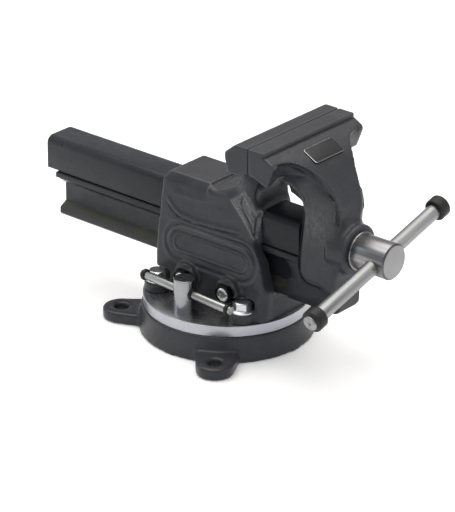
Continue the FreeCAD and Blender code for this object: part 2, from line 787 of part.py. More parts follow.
def vise_body():
    forms = [fixed_jaw(), panel_ring(-1), panel_ring(1)]
    forms += [lug(place) for place in lug_places]
    forms += [rod(gib_boss_radius, V(x, -gib_boss_face, gib_screw_z), Y_AXIS, gib_boss_face - gib_outer)
              for x in gib_screw_xs]
    cuts = [
        passage(),
        block(-cavity_half_length, cavity_half_length, -cavity_half_width, cavity_half_width,
              disc_top, cavity_top),
        block(nut_foot_rear - running_gap, nut_foot_front + running_gap, -nut_foot_half_width - running_gap,
              nut_foot_half_width + running_gap, nut_foot_bottom, passage_bottom),
        gib_space(-1, running_gap),
        gib_space(1, running_gap),
    ]
    for place in lug_places:
        cuts.append(upright(body_bolt_flange_radius + head_gap, place.x, place.y, lug_top,
                            lug_top + body_bolt_head_height + head_gap))
        cuts.append(upright(body_bolt_radius + bolt_gap, place.x, place.y, disc_top, lug_top))
    for x in gib_screw_xs:
        cuts.append(rod(gib_screw_radius + thread_gap, V(x, -gib_boss_face, gib_screw_z), Y_AXIS,
                        gib_boss_face - gib_inner))
    for x in nut_screw_xs:
        cuts.append(upright(nut_screw_radius + bolt_gap, x, 0, disc_top, passage_bottom))
    return body_block().fuse(forms).removeSplitter().cut(cuts)


def body_bolts():
    bolts = []
    for place in lug_places:
        seat = place + V(0, 0, lug_top)
        flange = rod(body_bolt_flange_radius, seat, Z_AXIS, body_bolt_flange_height)
        head = chamfered_hexagon(body_bolt_flats, seat + V(0, 0, body_bolt_flange_height), Z_AXIS,
                                 body_bolt_head_height - body_bolt_flange_height)
        shank = upright(body_bolt_radius, place.x, place.y, disc_bottom + tip_gap, lug_top)
        bolts.append(flange.fuse([head, shank]).removeSplitter())
    return Part.makeCompound(bolts)


# ---------------------------------------------------------------------- gibs
def gib_set_screws():
    screws = []
    length = gib_nut_height + gib_screw_proud + gib_boss_face - gib_outer
    for x in gib_screw_xs:
        start = V(x, -gib_outer - length, gib_screw_z)
        screw = bevelled_rod(gib_screw_radius, start, Y_AXIS, length, gib_screw_bevel)
        screws.append(screw.cut(hexagon(gib_socket_flats, start, Y_AXIS, gib_socket_depth)))
    return Part.makeCompound(screws)


def gib_lock_nuts():
    nuts = []
    for x in gib_screw_xs:
        seat = V(x, -gib_boss_face, gib_screw_z)
        nut = chamfered_hexagon(gib_nut_flats, seat, -Y_AXIS, gib_nut_height)
        nuts.append(nut.cut(rod(gib_screw_radius + thread_gap, seat, -Y_AXIS, gib_nut_height)))
    return Part.makeCompound(nuts)


# --------------------------------------------------------------- spindle nut
def spindle_nut():
    """The nut in the slide's box, its neck through the slot and its foot in the body."""
    x0 = nut_centre - nut_length / 2
    neck_half_width = slide_slot_half_width - nut_neck_gap
    head = front_slab(mirrored(bore_outline(running_gap)), x0, x0 + nut_length)
    neck = block(nut_foot_rear, nut_foot_front, -neck_half_width, neck_half_width,
                 nut_foot_bottom, slide_bore_bottom + slide_floor)
    foot = block(nut_foot_rear, nut_foot_front, -nut_foot_half_width, nut_foot_half_width,
                 nut_foot_bottom, passage_bottom)
    cuts = [rod(spindle_thread_radius + fit_gap, V(nut_foot_rear, 0, spindle_height), X_AXIS,
                nut_foot_front - nut_foot_rear)]
    for x in nut_screw_xs:
        cuts.append(upright(nut_screw_radius + thread_gap, x, 0, nut_foot_bottom,
                            nut_foot_bottom + nut_screw_reach + tip_gap))
    return head.fuse([neck, foot]).removeSplitter().cut(cuts)


def spindle_nut_screws():
    """Cap screws that hold the nut's foot down from the cavity under the body."""
    length = nut_foot_bottom + nut_screw_reach - cavity_top
    return Part.makeCompound([
        cap_screw(nut_screw_head_radius, nut_screw_head_height, nut_screw_radius, length,
                  nut_screw_socket_flats, nut_screw_socket_depth, V(x, 0, cavity_top))
        for x in nut_screw_xs])


# ---------------------------------------------------------------- moving jaw
def front_line(x):
    """Height of the straight sloping front of the jaw at x."""
    return jaw_top - jaw_lip_drop - (x - jaw_front_edge) * tan(radians(front_slope))


def front_profile(inset, steps):
    """Front of the jaw in side view, from its top lip down to the stem, (x, z)."""
    slope = radians(front_slope)
    start_x = stem_front - front_arc_radius * (1 - sin(slope))
    cx = start_x - front_arc_radius * sin(slope)
    cz = front_line(start_x) - front_arc_radius * cos(slope)
    arc = arc_points(cx, cz, front_arc_radius - inset, 90 - front_slope, 0, steps)
    return [(jaw_front_edge, front_line(jaw_front_edge) - inset / cos(slope))] + arc


def jaw_block():
    """The jaw across the top, with its face, its lip and its nose."""
    nose_x = jaw_plane + jaw_nose_depth
    return side_slab([
        (moving_face, jaw_top), (moving_face + jaw_flat_depth, jaw_top),
        (jaw_front_edge, front_line(jaw_front_edge)),
        (nose_x - jaw_nose_bevel, front_line(nose_x - jaw_nose_bevel)), (nose_x, jaw_top - jaw_nose_drop),
        (jaw_plane + jaw_heel_depth, jaw_top - jaw_heel_drop), (moving_face, jaw_top - jaw_face_height),
    ], jaw_half)


def stem():
    """The C-shaped web of the jaw, flaring to the jaw block at the top."""
    throat = arc_points(throat_front - throat_corner, throat_top - throat_corner, throat_corner, 0, 90, 8)
    throat.append((moving_face, throat_top))
    front = front_profile(plate_rise, 10)
    side = side_slab(
        [(moving_face, front[0][1])] + front
        + [(stem_front - plate_rise, rail_nose_top + stem_toe_height),
           (rail_nose_front - stem_toe_setback, rail_nose_top),
           *heel_arc(), (stem_rear, slide_box_bottom)]
        + throat,
        jaw_half)
    web = block(moving_face, stem_front, -stem_half_width, stem_half_width, rail_nose_top, jaw_top)
    # Under the jaw block the web flares out on both sides.
    flare_z = jaw_top - jaw_heel_drop + stem_flare_rise - stem_flare_radius
    flare_y = stem_half_width + stem_flare_radius
    flare = arc_points(flare_y, flare_z, stem_flare_radius, 90, 180, 8)
    flare_outline = mirrored([(flare_y, jaw_top)] + flare + [(stem_half_width, rail_nose_top)])
    flared = front_slab(flare_outline, moving_face, jaw_plane + jaw_nose_depth)
    under_plate = front_profile(stem_flare_depth, 10)
    behind = side_slab([(moving_face, under_plate[0][1])] + under_plate + [(moving_face, under_plate[-1][1])],
                       jaw_half)
    flared = flared.fuse(front_slab(flare_outline, moving_face, stem_front).common(behind))
    return side.common(web.fuse(flared))


def gusset():
    edge = [(jaw_plane + x, throat_top - drop) for x, drop in gusset_edge]
    inside_x = throat_front + gusset_overlap
    inside_z = throat_top + gusset_overlap
    return side_slab(edge + [(inside_x, edge[-1][1]), (inside_x, inside_z), (edge[0][0], inside_z)],
                     gusset_half_width)


def face_plate():
    """The raised plate on the front, wide at the jaw and narrow at the boss."""
    foot = spindle_height - plate_foot_drop
    side = side_slab(
        front_profile(0, 12) + [(stem_front, foot), (stem_front - plate_depth, foot)]
        + list(reversed(front_profile(plate_depth, 12))),
        jaw_half)
    spread = jaw_half - plate_half_width
    edge = [V(0, plate_half_width + spread * share, jaw_top - drop) for share, drop in plate_edge]
    edge.append(V(0, plate_half_width, foot))
    curve = Part.BSplineCurve()
    curve.interpolate(edge)
    centre_foot = V(0, 0, foot)
    centre_top = V(0, 0, jaw_top)
    corner = V(0, jaw_half, jaw_top)
    half = [
        curve.toShape(),
        Part.makeLine(edge[-1], centre_foot),
        Part.makeLine(centre_foot, centre_top),
        Part.makeLine(centre_top, corner),
        Part.makeLine(corner, edge[0]),
    ]
    right = Part.Face(Part.Wire(half)).extrude(V(boss_front, 0, 0))
    left = right.mirror(V(0, 0, 0), Y_AXIS)
    return side.common(right.fuse(left))


def moving_jaw():
    boss = crowned_rod(boss_radius, V(boss_front - boss_length, 0, spindle_height), X_AXIS,
                       boss_length, boss_bevel)
    cuts = [
        rod(spindle_shank_radius + fit_gap, V(stem_rear, 0, spindle_height), X_AXIS, boss_front - stem_rear),
        rod(retainer_radius + head_gap, V(stem_rear, 0, spindle_height), X_AXIS, retainer_recess),
    ]
    for x in rail_screw_xs:
        cuts.append(upright(rail_screw_radius + thread_gap, x, 0, rail_nose_top,
                            rail_nose_top + rail_screw_thread + tip_gap))
    return jaw_block().fuse([stem(), gusset(), face_plate(), boss]).removeSplitter().cut(cuts)


def nameplate():
    """The bare plate that lies on the sloping front of the jaw."""
    slab = block(-nameplate_height / 2, nameplate_height / 2, -nameplate_length / 2, nameplate_length / 2,
                 0, nameplate_thickness)
    slab = slab.makeFillet(nameplate_corner, upright_edges(slab))
    x = jaw_plane + nameplate_depth
    slab.Placement = FreeCAD.Placement(V(x, 0, front_line(x)), FreeCAD.Rotation(Y_AXIS, front_slope))
    return slab


# ------------------------------------------------------------------- spindle
def spindle():
    axis = V(0, 0, spindle_height)
    tip_x = retainer_seat - spindle_thread_length
    tip = Part.makeCone(spindle_thread_radius - spindle_tip_chamfer, spindle_thread_radius,
                        spindle_tip_chamfer, axis + X_AXIS * tip_x, X_AXIS)
    thread = rod(spindle_thread_radius, axis + X_AXIS * (tip_x + spindle_tip_chamfer), X_AXIS,
                 spindle_thread_length - spindle_tip_chamfer)
    shank = rod(spindle_shank_radius, axis + X_AXIS * retainer_seat, X_AXIS, head_rear - retainer_seat)
    head = crowned_rod(spindle_head_radius, axis + X_AXIS * head_rear, X_AXIS, spindle_head_length,
                       spindle_head_chamfer)
    reach = 2 * spindle_head_radius
    cross_hole = rod(handle_radius + fit_gap, V(handle_x, 0, spindle_height) - handle_dir * reach,
                     handle_dir, 2 * reach)
    pin_hole = rod(retainer_pin_radius + thread_gap, pin_foot(retainer_radius), Z_AXIS, 2 * retainer_radius)
    return tip.fuse([thread, shank, head]).removeSplitter().cut([cross_hole, pin_hole])


def thrust_washer():
    return ring(thrust_washer_radius, spindle_shank_radius + fit_gap, V(boss_front, 0, spindle_height),
                X_AXIS, thrust_washer_thickness)


def pin_foot(depth):
    """Where the collar's pin crosses, depth below the spindle's axis."""
    return V(retainer_seat - retainer_length / 2, 0, spindle_height - depth)


def retaining_collar():
    start = V(retainer_seat - retainer_length, 0, spindle_height)
    collar = ring(retainer_radius, spindle_thread_radius + thread_gap, start, X_AXIS, retainer_length)
    return collar.cut(rod(retainer_pin_radius + thread_gap, pin_foot(retainer_radius), Z_AXIS,
                          2 * retainer_radius))


def collar_pin():
    half_length = retainer_radius - retainer_pin_inset
    return rod(retainer_pin_radius, pin_foot(half_length), Z_AXIS, 2 * half_length)


# -------------------------------------------------------------------- handle
def handle_end(side):
    return V(handle_x, 0, spindle_height) + handle_dir * (handle_shift + side * handle_half_length)


def handle_bar():
    bar = bevelled_rod(handle_radius, handle_end(-1), handle_dir, 2 * handle_half_length, handle_bevel)
    dimples = [
        Part.makeCone(handle_dimple_radius, handle_dimple_tip, handle_dimple_depth, handle_end(side),
                      handle_dir * -side)
        for side in (-1, 1)]
    return bar.cut(dimples)


def handle_ring(side):
    """The black ring pressed on one end of the handle; side is -1 or 1."""
    start = handle_end(side) - handle_dir * (side * (handle_ring_inset + handle_ring_length))
    band = bevelled_rod(handle_ring_radius, start, handle_dir * side, handle_ring_length, handle_ring_round)
    return band.cut(rod(handle_radius + thread_gap, start, handle_dir * side, handle_ring_length))


# ---------------------------------------------------------------------- write
os.makedirs("parts", exist_ok=True)
save("base_casting", base_casting())
save("swivel_disc", swivel_disc())
save("pivot_bolt", pivot_bolt())
save("pivot_washer", pivot_washer())
save("pivot_nut", pivot_nut())
save("clamp_block", clamp_block())
save("lock_stud", lock_stud())
save("lock_screw", lock_screw())
save("lock_bar", lock_bar())
save("lock_bar_ring_left", lock_bar_ring(-1))
save("lock_bar_ring_right", lock_bar_ring(1))
save("lock_bar_friction_ring", lock_bar_friction_ring())
save("vise_body", vise_body())
save("body_bolts", body_bolts())
save("gib_strip_near", gib_space(-1, 0))
save("gib_strip_far", gib_space(1, 0))
save("gib_set_screws", gib_set_screws())
save("gib_lock_nuts", gib_lock_nuts())
save("spindle_nut", spindle_nut())
save("spindle_nut_screws", spindle_nut_screws())
save("slide_rail", slide_rail())
save("rail_screws", rail_screws())
save("moving_jaw", moving_jaw())
save("nameplate", nameplate())
save("spindle", spindle())
save("thrust_washer", thrust_washer())
save("retaining_collar", retaining_collar())
save("collar_pin", collar_pin())
save("handle_bar", handle_bar())
save("handle_ring_near", handle_ring(-1))
save("handle_ring_far", handle_ring(1))
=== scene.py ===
import contextlib
import math

import bmesh
import bpy
import numpy as np
from mathutils import Matrix, Vector, kdtree, noise


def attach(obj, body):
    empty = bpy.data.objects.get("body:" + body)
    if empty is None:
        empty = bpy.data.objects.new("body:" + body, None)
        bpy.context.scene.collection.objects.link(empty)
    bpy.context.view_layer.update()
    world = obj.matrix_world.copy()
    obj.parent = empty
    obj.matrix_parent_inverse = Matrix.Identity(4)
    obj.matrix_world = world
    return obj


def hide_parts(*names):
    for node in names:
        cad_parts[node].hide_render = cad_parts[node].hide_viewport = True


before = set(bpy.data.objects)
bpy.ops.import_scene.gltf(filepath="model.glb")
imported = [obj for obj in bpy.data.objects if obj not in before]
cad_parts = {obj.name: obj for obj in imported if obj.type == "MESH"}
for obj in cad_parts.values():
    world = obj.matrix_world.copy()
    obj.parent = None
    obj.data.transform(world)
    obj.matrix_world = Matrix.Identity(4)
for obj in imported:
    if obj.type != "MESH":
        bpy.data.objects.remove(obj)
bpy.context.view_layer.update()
scene = bpy.context.scene
scene.view_settings.view_transform = "Standard"
mm = 0.001

# ---------------- the studio
# A white floor under one large soft lamp, a narrow lamp at either side and a wide
# grey room that is darker and colder near the floor, which the bare steel mirrors.
view_azimuth = math.radians(40.27)
view_elevation = math.radians(24.86)
view_roll = math.radians(0.25)
view_distance = 2.6719
view_target = Vector((0, 0, 0.06804))
view_lens = 209.32

back = Vector((
    math.sin(view_azimuth) * math.cos(view_elevation),
    -math.cos(view_azimuth) * math.cos(view_elevation),
    math.sin(view_elevation),
))
level = Vector((math.cos(view_azimuth), math.sin(view_azimuth), 0))
upright = back.cross(level)
right = math.cos(view_roll) * level + math.sin(view_roll) * upright
up = math.cos(view_roll) * upright - math.sin(view_roll) * level

camera = bpy.data.objects.new("camera", bpy.data.cameras.new("camera"))
camera.data.lens = view_lens
camera.data.clip_end = 60
camera.matrix_world = Matrix.LocRotScale(
    view_target + back * view_distance, Matrix((right, up, back)).transposed(), None
)
scene.collection.objects.link(camera)
scene.camera = camera


def softbox(name, place, aim, width, height, glow, colour=(1, 1, 1)):
    """A rectangular lamp at place that faces aim; glow is how bright its face looks."""
    lamp = bpy.data.lights.new(name, "AREA")
    lamp.shape = "RECTANGLE"
    lamp.size = width
    lamp.size_y = height
    lamp.energy = math.pi * width * height * glow
    lamp.color = colour
    box = bpy.data.objects.new(name, lamp)
    box.location = place
    box.rotation_euler = (Vector(aim) - Vector(place)).to_track_quat("-Z", "Y").to_euler()
    scene.collection.objects.link(box)
    return box


softbox("lamp_above", (-0.35, 0.25, 2.2), (0, 0, 0.1), 3.0, 2.4, 2.4, (1.0, 0.965, 0.90))
softbox("lamp_left", (-1.9, -1.2, 1.0), (0, 0, 0.1), 0.7, 1.4, 1.38, (0.78, 0.90, 1.0))
softbox("lamp_right", (1.5, 1.1, 0.9), (0.1, 0, 0.15), 0.4, 1.3, 2.0)

room = bpy.data.worlds.new("room")
room.use_nodes = True
scene.world = room
nodes, links = room.node_tree.nodes, room.node_tree.links
nodes.clear()
direction = nodes.new("ShaderNodeTexCoord")
split = nodes.new("ShaderNodeSeparateXYZ")
heights = nodes.new("ShaderNodeValToRGB")
walls = nodes.new("ShaderNodeBackground")
room_output = nodes.new("ShaderNodeOutputWorld")
stops = heights.color_ramp.elements
# From the floor's level to straight up: height, tone, and how cold the tone is.
for place, tone, cold in (
    (0.0, 0.18, 1.7), (0.14, 0.18, 1.7), (0.36, 0.38, 0.6), (0.62, 0.50, 0.0), (1.0, 0.60, 0.0),
):
    stop = stops.new(place) if 0 < place < 1 else stops[int(place)]
    stop.color = ((1 - 0.14 * cold) * tone, (1 - 0.06 * cold) * tone, (1 + 0.14 * cold) * tone, 1)
links.new(direction.outputs["Generated"], split.inputs[0])
links.new(split.outputs["Z"], heights.inputs[0])
links.new(heights.outputs[0], walls.inputs["Color"])
links.new(walls.outputs[0], room_output.inputs["Surface"])

half = 15
floor_mesh = bpy.data.meshes.new("floor")
floor_mesh.from_pydata(
    [(-half, -half, 0), (half, -half, 0), (half, half, 0), (-half, half, 0)], [], [(0, 1, 2, 3)]
)
floor = bpy.data.objects.new("floor", floor_mesh)
floor.location.z = -0.0002
scene.collection.objects.link(floor)
white_paper = bpy.data.materials.new("white_paper")
white_paper.use_nodes = True
nodes, links = white_paper.node_tree.nodes, white_paper.node_tree.links
paper = nodes["Principled BSDF"]
paper.inputs["Roughness"].default_value = 0.9
paper.inputs["Specular IOR Level"].default_value = 0.0
paper.inputs["Emission Strength"].default_value = 1.0
path = nodes.new("ShaderNodeLightPath")
seen = path.outputs["Is Camera Ray"]
for kind in ("Is Glossy Ray", "Is Transmission Ray"):
    either = nodes.new("ShaderNodeMath")
    either.operation = "MAXIMUM"
    links.new(seen, either.inputs[0])
    links.new(path.outputs[kind], either.inputs[1])
    seen = either.outputs[0]
# What the paper sends on to the vise is duller than what the camera and the steel see.
for socket, sent_on, shown in (
    ("Base Color", (0.55, 0.61, 0.70), (0.94, 0.94, 0.94)),
    ("Emission Color", (0, 0, 0), (0.15, 0.15, 0.15)),
):
    tone = nodes.new("ShaderNodeMixRGB")
    tone.inputs["Color1"].default_value = (*sent_on, 1)
    tone.inputs["Color2"].default_value = (*shown, 1)
    links.new(seen, tone.inputs["Fac"])
    links.new(tone.outputs["Color"], paper.inputs[socket])
floor_mesh.materials.append(white_paper)

# ---------------- the base
# The round foot is a grey-iron casting with three bolt ears, sprayed satin black
# after the tops of the ears and the seat of the disc were machined.
base_black = (0.0303, 0.0308, 0.0360)
base_high = 24.5
sand_grain = 1.3 * mm


def finish(name):
    """A new material: its node tree and its shader."""
    material = bpy.data.materials.new(name)
    material.use_nodes = True
    return material, material.node_tree, material.node_tree.nodes["Principled BSDF"]


def add(tree, kind, *wires, **settings):
    """A shader node with its settings; wires are (input, output or value)."""
    node = tree.nodes.new("ShaderNode" + kind)
    for key, value in settings.items():
        setattr(node, key, value)
    for socket, source in wires:
        if isinstance(source, bpy.types.NodeSocket):
            tree.links.new(source, node.inputs[socket])
        else:
            node.inputs[socket].default_value = source
    return node


def places(tree):
    """Where each point of a piece is, in metres."""
    return add(tree, "TexCoord").outputs["Object"]


def clouds(tree, size, detail=3.0, rough=0.5, at=None):
    """Soft noise whose lumps are about `size` metres across."""
    return add(
        tree, "TexNoise", ("Vector", at or places(tree)), ("Scale", 1 / size),
        ("Detail", detail), ("Roughness", rough),
    ).outputs["Fac"]


def spread(tree, source, low, high, from_low=0.3, from_high=0.7):
    """source carried from one range of numbers to another."""
    return add(
        tree, "MapRange", ("Value", source), ("From Min", from_low), ("From Max", from_high),
        ("To Min", low), ("To Max", high),
    ).outputs["Result"]


def tinted(tree, factor, first, second):
    """A colour between two, by factor."""
    mix = add(tree, "Mix", ("Factor", factor), data_type="RGBA")
    for socket, colour in ((6, first), (7, second)):
        if isinstance(colour, bpy.types.NodeSocket):
            tree.links.new(colour, mix.inputs[socket])
        else:
            mix.inputs[socket].default_value = (*colour, 1)
    return mix.outputs[2]


def shade(colour, share):
    """A colour made darker or lighter."""
    return tuple(min(1.0, share * part) for part in colour)


def dented(tree, *layers):
    """The surface normal under layers of (height, depth in metres)."""
    normal = None
    for height, depth in layers:
        bump = add(tree, "Bump", ("Height", height), ("Distance", depth), ("Strength", 1.0))
        if normal is not None:
            tree.links.new(normal, bump.inputs["Normal"])
        normal = bump.outputs["Normal"]
    return normal


def sprayed(name, colour, worn, orange_peel=0.08 * mm, lumps=0.25 * mm, sheen=0.33):
    """Satin paint over cast or forged iron, worn to `worn` where the mesh says bare, with a painted
    highlight and worn paint on sharp edges and painted shade in corners.
    """
    material, tree, shader = finish(name)
    patches = clouds(tree, 28 * mm, 4)
    flecks = clouds(tree, 1.1 * mm, 2)
    paint = tinted(tree, spread(tree, patches, 0, 1), shade(colour, 0.80), shade(colour, 1.22))
    paint = tinted(tree, spread(tree, flecks, 0, 0.28), paint, shade(colour, 1.9))
    edge = add(tree, "Attribute", attribute_name="edge").outputs["Fac"]
    # Edges that bend out get a painted highlight, partly worn paint; corners that bend in get painted
    # shade.
    worn_and_lit_edge = spread(tree, edge, 0, 0.55, 0.15, 1.0)
    corner_shade = spread(tree, edge, 0.65, 0, -1.0, -0.2)
    paint = tinted(tree, worn_and_lit_edge, paint, shade(colour, 2.4))
    paint = tinted(tree, corner_shade, paint, shade(colour, 0.35))
    bare = add(tree, "Attribute", attribute_name="bare").outputs["Fac"]
    scratches = clouds(tree, 1.6 * mm, 5, 0.7)
    rubbed = add(
        tree, "Math", (0, bare), (1, spread(tree, scratches, 0.15, 1.0)),
        operation="MULTIPLY", use_clamp=True,
    ).outputs[0]
    tree.links.new(tinted(tree, rubbed, paint, worn), shader.inputs["Base Color"])
    gloss = spread(tree, clouds(tree, 9 * mm, 4), 0.27, 0.40)
    tree.links.new(gloss, shader.inputs["Roughness"])
    shader.inputs["Specular IOR Level"].default_value = sheen
    normal = dented(tree, (clouds(tree, 7 * mm, 2), lumps), (clouds(tree, 1.3 * mm, 2), orange_peel))
    tree.links.new(normal, shader.inputs["Normal"])
    return material


def settle(piece):
    """Fixes the modifiers of a piece into its mesh."""
    bpy.context.view_layer.update()
    graph = bpy.context.evaluated_depsgraph_get()
    mesh = bpy.data.meshes.new_from_object(piece.evaluated_get(graph), depsgraph=graph)
    piece.modifiers.clear()
    piece.data = mesh
    return piece


@contextlib.contextmanager
def reworked(piece):
    """Opens a piece's mesh for editing, and puts it back."""
    edit = bmesh.new()
    edit.from_mesh(piece.data)
    yield edit
    edit.to_mesh(piece.data)
    edit.free()


def solid_copy(node, name):
    """The node's solid with its facets joined into one skin."""
    piece = bpy.data.objects.new(name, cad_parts[node].data.copy())
    scene.collection.objects.link(piece)
    piece.data.materials.clear()
    with reworked(piece) as edit:
        bmesh.ops.remove_doubles(edit, verts=edit.verts, dist=0.002 * mm)
    return piece


def casting(node, name, grain):
    """The node's solid under an even skin, `grain` metres across each facet."""
    piece = solid_copy(node, name)
    skin = piece.modifiers.new("skin", "REMESH")
    skin.mode = "VOXEL"
    skin.voxel_size = grain
    return settle(piece)


def skin_points(piece):
    """Where the points of a skin are, in millimetres, and the way each one faces."""
    count = len(piece.data.vertices)
    points = np.empty(count * 3)
    facing = np.empty(count * 3)
    piece.data.vertices.foreach_get("co", points)
    piece.data.vertices.foreach_get("normal", facing)
    return points.reshape(-1, 3) / mm, facing.reshape(-1, 3)


def set_points(piece, points):
    """Moves the points of a skin to new places, in millimetres."""
    piece.data.vertices.foreach_set("co", (points * mm).ravel())
    piece.data.update()


def averaging(piece):
    """Returns what gives each point of a skin the mean of a value over its neighbours."""
    count = len(piece.data.vertices)
    ends = np.empty(len(piece.data.edges) * 2, int)
    piece.data.edges.foreach_get("vertices", ends)
    first, second = ends.reshape(-1, 2).T
    neighbours = np.bincount(first, minlength=count) + np.bincount(second, minlength=count)

    def mean(values):
        if values.ndim > 1:
            return np.stack([mean(column) for column in values.T], 1)
        total = np.bincount(first, values[second], count) + np.bincount(second, values[first], count)
        return total / neighbours

    return mean


def relax(piece, amount, rounds):
    """Rounds the edges of a skin; amount is 0 where the edge stays as it is."""
    points, _ = skin_points(piece)
    mean = averaging(piece)
    for _ in range(rounds):
        points += amount[:, None] * (mean(points) - points)
    set_points(piece, points)


def ramp(value, low, high):
    """0 below low, 1 above high, and a soft step between."""
    share = np.clip((value - low) / (high - low), 0, 1)
    return share * share * (3 - 2 * share)


def unevenness(points, size, seed):
    """Smooth lumps, -1 to 1, about `size` millimetres across."""
    shift = Vector((seed, 2 * seed, 3 * seed))
    return np.array([noise.noise(Vector(point) / size + shift) for point in points])


def thinned(piece, facets):
    """Takes a skin down to about this many facets, fewest where it is flat."""
    piece.data.calc_loop_triangles()
    share = facets / max(len(piece.data.loop_triangles), 1)
    if share < 1:
        thin = piece.modifiers.new("thin", "DECIMATE")
        thin.ratio = share
        settle(piece)
    return piece


def crisp(piece, angle=32):
    """Smooth shading that stops at edges sharper than angle."""
    with reworked(piece) as edit:
        for face in edit.faces:
            face.smooth = True
        for edge in edit.edges:
            edge.smooth = len(edge.link_faces) == 2 and edge.calc_face_angle(0) < math.radians(angle)
    return piece


def fit(piece, body, material, *node_names):
    """Gives a piece its finish, its body and the CAD nodes that it stands for."""
    piece.data.materials.clear()
    piece.data.materials.append(material)
    if node_names:
        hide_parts(*node_names)
    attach(piece, body)
    return piece


foot_paint = sprayed("foot_paint", base_black, (0.10, 0.095, 0.085), 0.05 * mm, 0.18 * mm)
foot = casting("base_casting", "foot", sand_grain)
points, facing = skin_points(foot)
reach = np.hypot(points[:, 0], points[:, 1])
amount = np.full(len(points), 0.5)
amount[points[:, 2] < 0.6] = 0.4  # the ring on the bench
amount[(points[:, 2] > 23) & (reach < 78)] = 0.0  # the seat of the disc
relax(foot, amount, 12)
points, facing = skin_points(foot)
side = 1 - np.abs(facing[:, 2])
points += facing * (0.22 * side * unevenness(points, 26, 3.1))[:, None]
points[:, 2] = np.clip(points[:, 2], 0, base_high)
set_points(foot, points)
thinned(foot, 60000)
fit(crisp(foot, 60), "base", foot_paint, "base_casting")

# ---------------- the swivel disc
# The body turns on this steel disc. Its rim is turned and left bare, and its top is
# ground and polished; a bolt with a washer and a nut holds it down in the middle.
disc_radius = 76.2 * mm
disc_low = base_high * mm
disc_high = 34.5 * mm
rim_round = 0.5 * mm


def bare_steel(tree, shader, colour, stain, stains, marks, gloss, depth):
    """Steel with stains, and with marks that change its gloss and dent it."""
    dark, light = shade(colour, 1 - stain), shade(colour, 1 + stain)
    tree.links.new(tinted(tree, spread(tree, stains, 0, 1), dark, light), shader.inputs["Base Color"])
    shader.inputs["Metallic"].default_value = 1.0
    tree.links.new(spread(tree, marks, *gloss), shader.inputs["Roughness"])
    tree.links.new(dented(tree, (marks, depth)), shader.inputs["Normal"])


def turned(name, colour, axis, gloss, line=0.35 * mm, depth=0.006 * mm, stain=0.12):
    """Bare steel with the fine rings that a lathe leaves round an axis."""
    material, tree, shader = finish(name)
    place = add(tree, "SeparateXYZ", (0, places(tree)))
    along = place.outputs[axis]
    across = [place.outputs[other] for other in "XYZ" if other != axis]
    flat = add(tree, "CombineXYZ", (0, across[0]), (1, across[1]))
    radius = add(tree, "VectorMath", (0, flat.outputs[0]), operation="LENGTH").outputs["Value"]
    both = add(tree, "Math", (0, along), (1, radius), operation="ADD").outputs[0]
    rings = add(
        tree, "TexNoise", ("W", both), ("Scale", 1 / line), ("Detail", 2.0), noise_dimensions="1D"
    ).outputs["Fac"]
    smears = clouds(tree, 16 * mm, 5, 0.6)
    bare_steel(tree, shader, colour, stain, smears, rings, (gloss * 0.85, gloss * 1.25), depth)
    return material


def drawn(name, colour, way, gloss, line=1.2 * mm, depth=0.004 * mm, stain=0.18):
    """Bare steel with the fine marks that drawing and polishing leave along a bar."""
    material, tree, shader = finish(name)
    way = Vector(way).normalized()
    first = way.orthogonal().normalized()
    parts = []
    for direction, stretch in ((first, 1.0), (way.cross(first), 1.0), (way, 0.03)):
        part = add(tree, "VectorMath", (0, places(tree)), (1, direction * stretch), operation="DOT_PRODUCT")
        parts.append(part.outputs["Value"])
    beside = add(tree, "CombineXYZ", *enumerate(parts)).outputs[0]
    bands = clouds(tree, 3 * line, 2, 0.5, beside)
    marks = clouds(tree, 0.5 * line, 3, 0.6, beside)
    bare_steel(tree, shader, colour, stain, bands, marks, (gloss * 0.8, gloss * 1.3), depth)
    return material


def made(name, vertices, faces):
    """A new piece from its points and faces."""
    piece = bpy.data.objects.new(name, bpy.data.meshes.new(name))
    piece.data.from_pydata(vertices, [], faces)
    scene.collection.objects.link(piece)
    return piece


def lathe(name, outline, centre, axis, steps=96):
    """A turned piece: the outline, (radius, distance along the axis), spun round the axis."""
    axis = Vector(axis).normalized()
    turn = axis.to_track_quat("Z", "Y").to_matrix()
    centre = Vector(centre)
    vertices, faces, rows = [], [], []
    for radius, along in outline:
        if radius < 1e-7:
            rows.append([len(vertices)] * steps)
            vertices.append(centre + turn @ Vector((0, 0, along)))
            continue
        rows.append(list(range(len(vertices), len(vertices) + steps)))
        for step in range(steps):
            angle = 2 * math.pi * step / steps
            spot = Vector((radius * math.cos(angle), radius * math.sin(angle), along))
            vertices.append(centre + turn @ spot)
    for lower, upper in zip(rows, rows[1:]):
        for step in range(steps):
            after = (step + 1) % steps
            corners = [lower[step], lower[after], upper[after], upper[step]]
            corners = list(dict.fromkeys(corners))
            if len(corners) > 2:
                faces.append(corners)
    piece = made(name, vertices, faces)
    with reworked(piece) as edit:
        bmesh.ops.recalc_face_normals(edit, faces=edit.faces)
    return piece


def rounded_end(radius, along, size, outward, steps=4):
    """The outline of a rounded edge that turns from a side to an end, or back."""
    corner = []
    for step in range(steps + 1):
        angle = 0.5 * math.pi * step / steps
        beside = radius - size + size * math.cos(angle)
        corner.append((beside, along - outward * size * (1 - math.sin(angle))))
    return corner if outward > 0 else corner[::-1]


rim_steel = turned("rim_steel", (0.405, 0.417, 0.458), "Z", 0.34, 0.25 * mm, 0.003 * mm, 0.05)
disc = lathe(
    "disc",
    [(0, disc_low)] + rounded_end(disc_radius, disc_low, rim_round, -1)
    + rounded_end(disc_radius, disc_high, rim_round, 1) + [(0, disc_high)],
    (0, 0, 0), (0, 0, 1), 192,
)
disc_top_steel = turned("disc_top_steel", (0.66, 0.66, 0.68), "Z", 0.25, 0.6 * mm, 0.0015 * mm, 0.10)
fit(crisp(disc), "turntable", rim_steel, "swivel_disc")
disc.data.materials.append(disc_top_steel)
for face in disc.data.polygons:
    face.material_index = 1 if face.normal.z > 0.9 else 0


